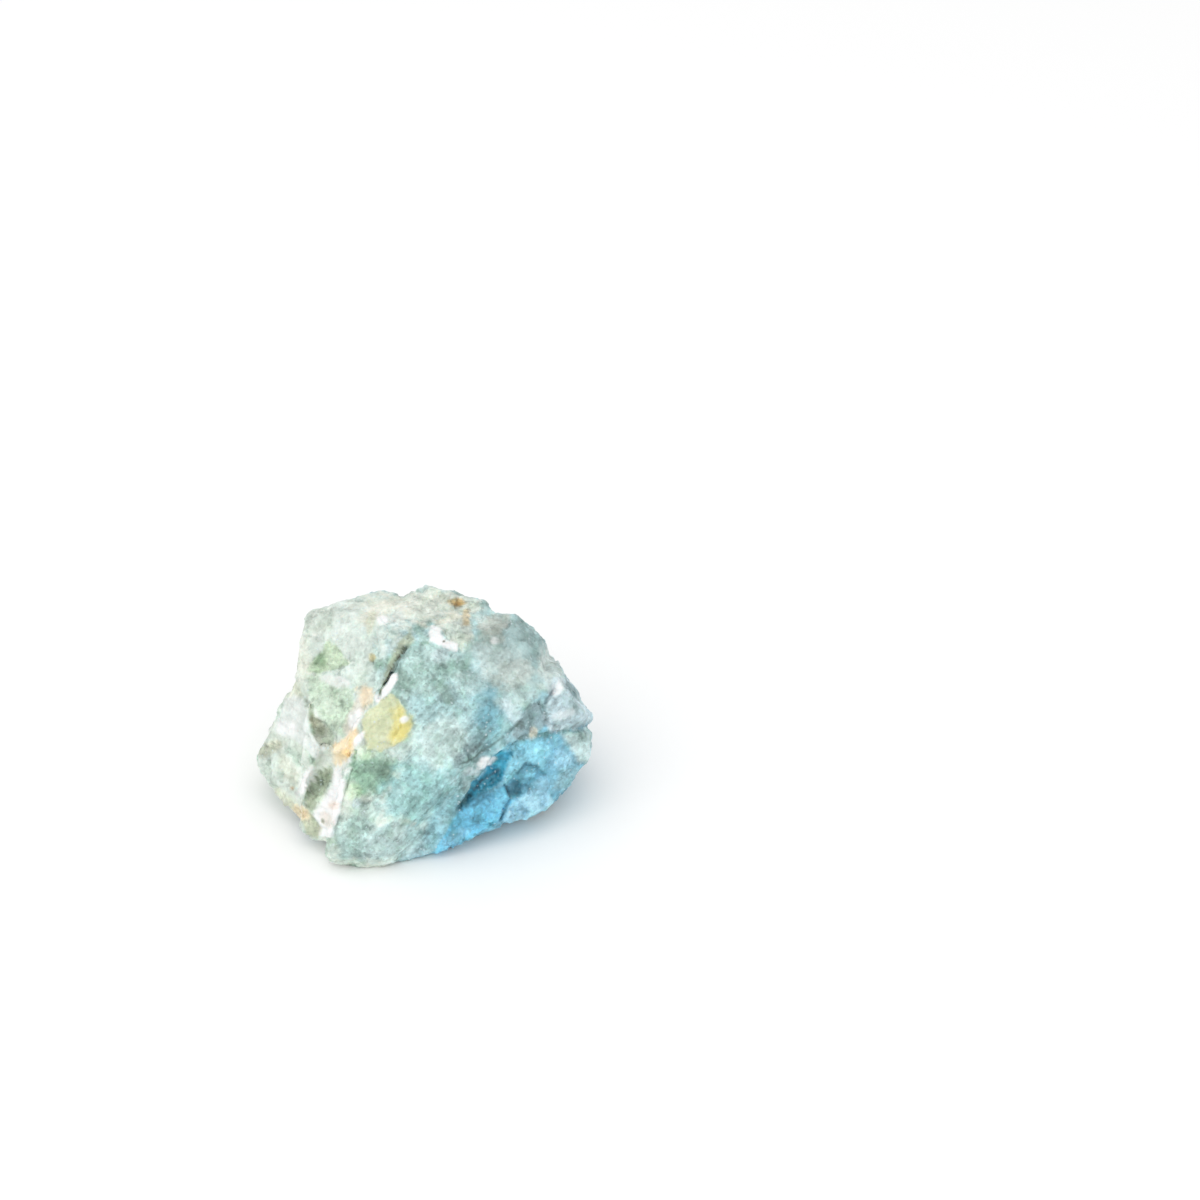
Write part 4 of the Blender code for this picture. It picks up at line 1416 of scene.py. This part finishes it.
@dataclass(frozen=True)
class BerylFinish:
    """The stone's finish: milky beryl with crystal grain, painted glints and fine flaws."""

    grain: Cloud = Cloud(0.42, 4.0, 0.6)
    cloud: Cloud = Cloud(1.5, 5.0, 0.62, contrast=0.7)
    fine: Cloud = Cloud(0.42, 3.0, 0.65, contrast=0.36)
    stroke: Cloud = Cloud(0.6, 3.0, 0.6, contrast=0.45)
    haze: Cloud = Cloud(3.2, 4.0, 0.55, 71.0, contrast=0.5)
    green: Cloud = Cloud(1.5, offset=31.0)
    patchy: Cloud = Cloud(2.2, 2.0, offset=17.0)
    gloss: tuple[float, float, float] = (0.3, 0.25, 0.14)
    facet_bend: tuple[float, float] = (1.0, 0.12)
    grain_bump: tuple[float, float] = (0.12, 0.4)
    small_facets: tuple[float, float] = (0.45, 0.38)
    large_facets: tuple[float, float] = (1.1, 0.32)
    large_offset: float = 9.0
    sugar_bend: tuple[float, float] = (0.8, 0.3)
    sugar_size: float = 0.42
    sugar_contrast: float = 0.27
    block_size: float = 1.5
    block_contrast: float = 0.22
    stroke_elsewhere: float = 0.1
    shade_gain: float = 1.5
    roughest: float = 1.15
    calm_loss: float = 0.9
    green_edge: tuple[float, float] = (0.48, 0.7)
    green_share: float = 0.35
    haze_edge: tuple[float, float] = (0.5, 0.66)
    haze_share: float = 0.3
    deep_edge: tuple[float, float] = (0.52, 0.68)
    deep_share: float = 0.4
    patchy_edge: tuple[float, float] = (0.42, 0.62)
    glint_size: float = 0.45
    glint_cells: float = 0.12
    glint_share: float = 0.75
    speck_offset: float = 53.0
    speck_size: float = 0.5
    speck_cells: float = 0.1
    speck_shares: tuple[float, float] = (0.1, 0.25)
    speck_rim: tuple[float, float] = (0.1, 0.42)
    speck_pick: tuple[float, float] = (0.75, 0.85)
    refraction: float = 1.57
    milkiness: float = 0.3
    glow_depth: tuple[float, float, float] = (0.8, 1.1, 1.2)
    glow_scale: float = 0.0011
    specular: float = 0.42

    def material(self) -> bpy.types.Material:
        """Build the material."""
        graph = ShaderGraph("beryl")
        place = graph.millimetres()
        grain = self.grain.wire(graph, place)
        plain, by_grain, by_facet = self.gloss
        return graph.dressed({
            "Base Color": self.colour(graph, place),
            "Roughness": plain + by_grain * grain + by_facet * graph.attribute("facet"),
            "Normal": self.relief(graph, place, grain),
            "IOR": self.refraction,
            "Specular IOR Level": self.specular,
            "Subsurface Weight": self.milkiness,
            "Subsurface Radius": self.glow_depth,
            "Subsurface Scale": self.glow_scale,
        })

    def relief(self, graph: ShaderGraph, place: Wire, grain: Wire) -> Wire:
        """Stack the bumps: grain, then small and large facets."""
        bent = graph.warped(place, *self.facet_bend)
        small_size, small_strength = self.small_facets
        large_size, large_strength = self.large_facets
        fine = graph.bump(grain, *self.grain_bump)
        small = graph.bump(graph.facets(bent, small_size), 1.0, small_strength, fine)
        apart = graph.moved(bent, self.large_offset)
        return graph.bump(graph.facets(apart, large_size), 1.0, large_strength, small)

    def colour(self, graph: ShaderGraph, place: Wire) -> Wire:
        """Break the painted colour up into clouds, grain, strokes, pale glints painted as highlights, and
        dark specks.
        """
        bent = graph.warped(place, *self.sugar_bend)
        main = graph.attribute("main")
        haze = self.haze.wire(graph, place)
        rough = self.roughest - self.calm_loss * graph.attribute("calm")
        shade = rough * self.shade(graph, place, bent, haze, main)
        painted = graph.attribute("tint", "Vector")
        broken = graph.mix(1.0, painted, 1 + self.shade_gain * shade, Blend.DARKEN)
        green = rough * self.green.wire(graph, place).step(*self.green_edge) * self.green_share
        hued = graph.mix(green, broken, Palette.SAGE, Blend.DARKEN)
        hazed = graph.mix(haze.step(*self.haze_edge) * self.haze_share, hued, hued, Blend.BRIGHTEN)
        deep = rough * (1 - haze).step(*self.deep_edge) * self.deep_share
        deepened = graph.mix(deep, hazed, Palette.DEEP, Blend.DARKEN)
        patchy = self.patchy.wire(graph, place).step(*self.patchy_edge)
        # Painted highlights: pale glints laid into the colour.
        glints = self.specks(graph, bent, self.glint_size, self.glint_cells)
        bright = graph.mix(glints * patchy * self.glint_share, deepened, Palette.ICE)
        apart = graph.moved(bent, self.speck_offset)
        dark = self.specks(graph, apart, self.speck_size, self.speck_cells)
        anywhere, on_main = self.speck_shares
        spread = rough * (1 - patchy) * (anywhere + on_main * main)
        return graph.mix(dark * spread, bright, Palette.SHADE_AND_SPECKS, Blend.DARKEN)

    def shade(self, graph: ShaderGraph, place: Wire, bent: Wire, haze: Wire, main: Wire) -> Wire:
        """Add up the shades of clouds, grain, haze, strokes and two sizes of drawn cells."""
        along = graph.attribute("stroke", "Vector")
        strokes = self.stroke.shade(self.stroke.wire(graph, along)) * (self.stroke_elsewhere + main)
        shade = self.haze.shade(haze) + strokes
        for cloud in (self.cloud, self.fine):
            shade = shade + cloud.shade(cloud.wire(graph, place))
        cells = {self.sugar_size: self.sugar_contrast, self.block_size: self.block_contrast}
        for size, contrast in cells.items():
            shade = shade + contrast * (graph.cells(bent, size, "Color") - 0.5)
        return shade

    def specks(self, graph: ShaderGraph, place: Wire, size: float, share: float) -> Wire:
        """Scatter specks: the middles of a share of a cell pattern's cells."""
        near = graph.cells(place, size)
        low, high = (limit - share for limit in self.speck_pick)
        return (1 - near.step(*self.speck_rim)) * near.beside("Color").step(low, high)


@dataclass
class RoughStone:
    """The whole stone: its form, skin, colours and finish, placed on the frame's solid."""

    camera: PhotoCamera
    name: str = "beryl_skin"
    light_weights: tuple[float, float, float] = (0.2, 0.7, 0.1)
    calm_light: tuple[float, float] = (0.55, 0.85)
    crystal_calm: float = 0.85
    shoulder_calm: float = 0.55
    heart: Array = field(init=False)
    scale: float = field(init=False)

    def build(self) -> None:
        """Make the stone's mesh, dress it, and stand it where the solid is."""
        skin = StoneSkin(StoneForm(), self.camera)
        self.fit(skin.points)
        places = self.heart + skin.points * self.scale
        mesh = bpy.data.meshes.new(self.name)
        mesh.from_pydata(places.tolist(), [], skin.grid.quads.tolist())
        mesh.polygons.foreach_set("use_smooth", np.ones(len(mesh.polygons), bool))
        for name, values in self.layers(skin).items():
            self.store(mesh, name, values)
        mesh.materials.append(BerylFinish().material())
        mesh.update()
        stone = placed(self.name, mesh)
        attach(stone, "root")
        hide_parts(STONE_NODE)
        LOG.info("%s: %d faces", self.name, len(mesh.polygons))

    def fit(self, points: Array) -> None:
        """Work out the scale and the heart's place from the solid's box."""
        low, high = (np.array(corner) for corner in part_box(STONE_NODE))
        lowest, highest = points.min(axis=0), points.max(axis=0)
        self.scale = float((high[0] - low[0]) / (highest[0] - lowest[0]))
        middle = (low + high) / 2 - (lowest + highest) / 2 * self.scale
        self.heart = np.array([middle[0], middle[1], low[2] - lowest[2] * self.scale])

    def layers(self, skin: StoneSkin) -> dict[str, Array]:
        """Work out what the finish reads for every point.

        Args:
            skin: The finished skin.

        Returns:
            The painted colour, the facets' levels, the strokes' places, the main face, and
            how calm the pattern is: most on pale colour, the crystal and the shoulder.
        """
        pixels = skin.pixels
        colours = StoneColours(skin).painted()
        calm = smoothstep(*self.calm_light, colours @ np.array(self.light_weights))
        calm = np.maximum(calm, self.crystal_calm * CRYSTAL.mask(pixels))
        return {
            "tint": colours,
            "facet": skin.facet_level,
            "stroke": skin.stroke_place,
            "calm": np.maximum(calm, self.shoulder_calm * SHOULDER.mask(pixels)),
            "main": MAIN_FACE.mask(pixels),
        }

    @staticmethod
    def store(mesh: bpy.types.Mesh, name: str, values: Array) -> None:
        """Keep a number, or three such as a colour's, for every point of the mesh."""
        kind, key = ("FLOAT", "value") if values.ndim == 1 else ("FLOAT_VECTOR", "vector")
        layer = mesh.attributes.new(name, kind, "POINT")
        layer.data.foreach_set(key, values.astype(np.float32).ravel())


@dataclass(frozen=True)
class Studio:
    """A pale floor and soft white light from all round and above."""

    floor_side: float = 4.0
    floor_shade: float = 0.96
    floor_roughness: float = 0.9
    sky: float = 0.79
    key_power: float = 4.4
    lamp_side: float = 1.3
    key_place: tuple[float, float, float] = (-0.25, -0.35, 0.75)
    fill_power: float = 0.5
    fill_place: tuple[float, float, float] = (0.55, -0.35, 0.35)

    def build(self) -> None:
        """Set up the floor, the world and the lights."""
        self.floor()
        self.world()
        self.lamp("key_light", self.key_place, self.key_power)
        self.lamp("fill_light", self.fill_place, self.fill_power)
        bpy.context.scene.view_settings.view_transform = "Standard"

    def floor(self) -> None:
        """Lay the floor under the stone."""
        half = self.floor_side / 2
        corners = [(-half, -half, 0), (half, -half, 0), (half, half, 0), (-half, half, 0)]
        mesh = bpy.data.meshes.new("studio_floor")
        mesh.from_pydata(corners, [], [(0, 1, 2, 3)])
        sockets = {
            "Base Color": (self.floor_shade,) * 3,
            "Roughness": self.floor_roughness,
            "Specular IOR Level": 0.0,
        }
        mesh.materials.append(ShaderGraph("pale_floor").dressed(sockets))
        placed("studio_floor", mesh)

    def world(self) -> None:
        """Light the scene evenly from all round."""
        world = bpy.data.worlds.new("studio_sky")
        world.use_nodes = True
        sky = world.node_tree.nodes["Background"]
        sky.inputs["Color"].default_value = (1.0, 1.0, 1.0, 1.0)
        sky.inputs["Strength"].default_value = self.sky
        bpy.context.scene.world = world

    def lamp(self, name: str, place: tuple[float, float, float], power: float) -> None:
        """Hang a square soft light that faces the stone."""
        data = bpy.data.lights.new(name, "AREA")
        data.shape = "SQUARE"
        data.size = self.lamp_side
        data.energy = power
        lamp = placed(name, data)
        lamp.location = place
        lamp.rotation_euler = Vector(place).to_track_quat("Z", "Y").to_euler()


def main() -> None:
    """Load the frame, build the stone and the studio."""
    logging.basicConfig(level=logging.INFO, format="%(name)s: %(message)s")
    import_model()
    camera = PhotoCamera()
    stone = RoughStone(camera)
    stone.build()
    camera.add(stone.heart, stone.scale)
    Studio().build()
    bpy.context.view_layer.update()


if __name__ == "__main__":
    main()
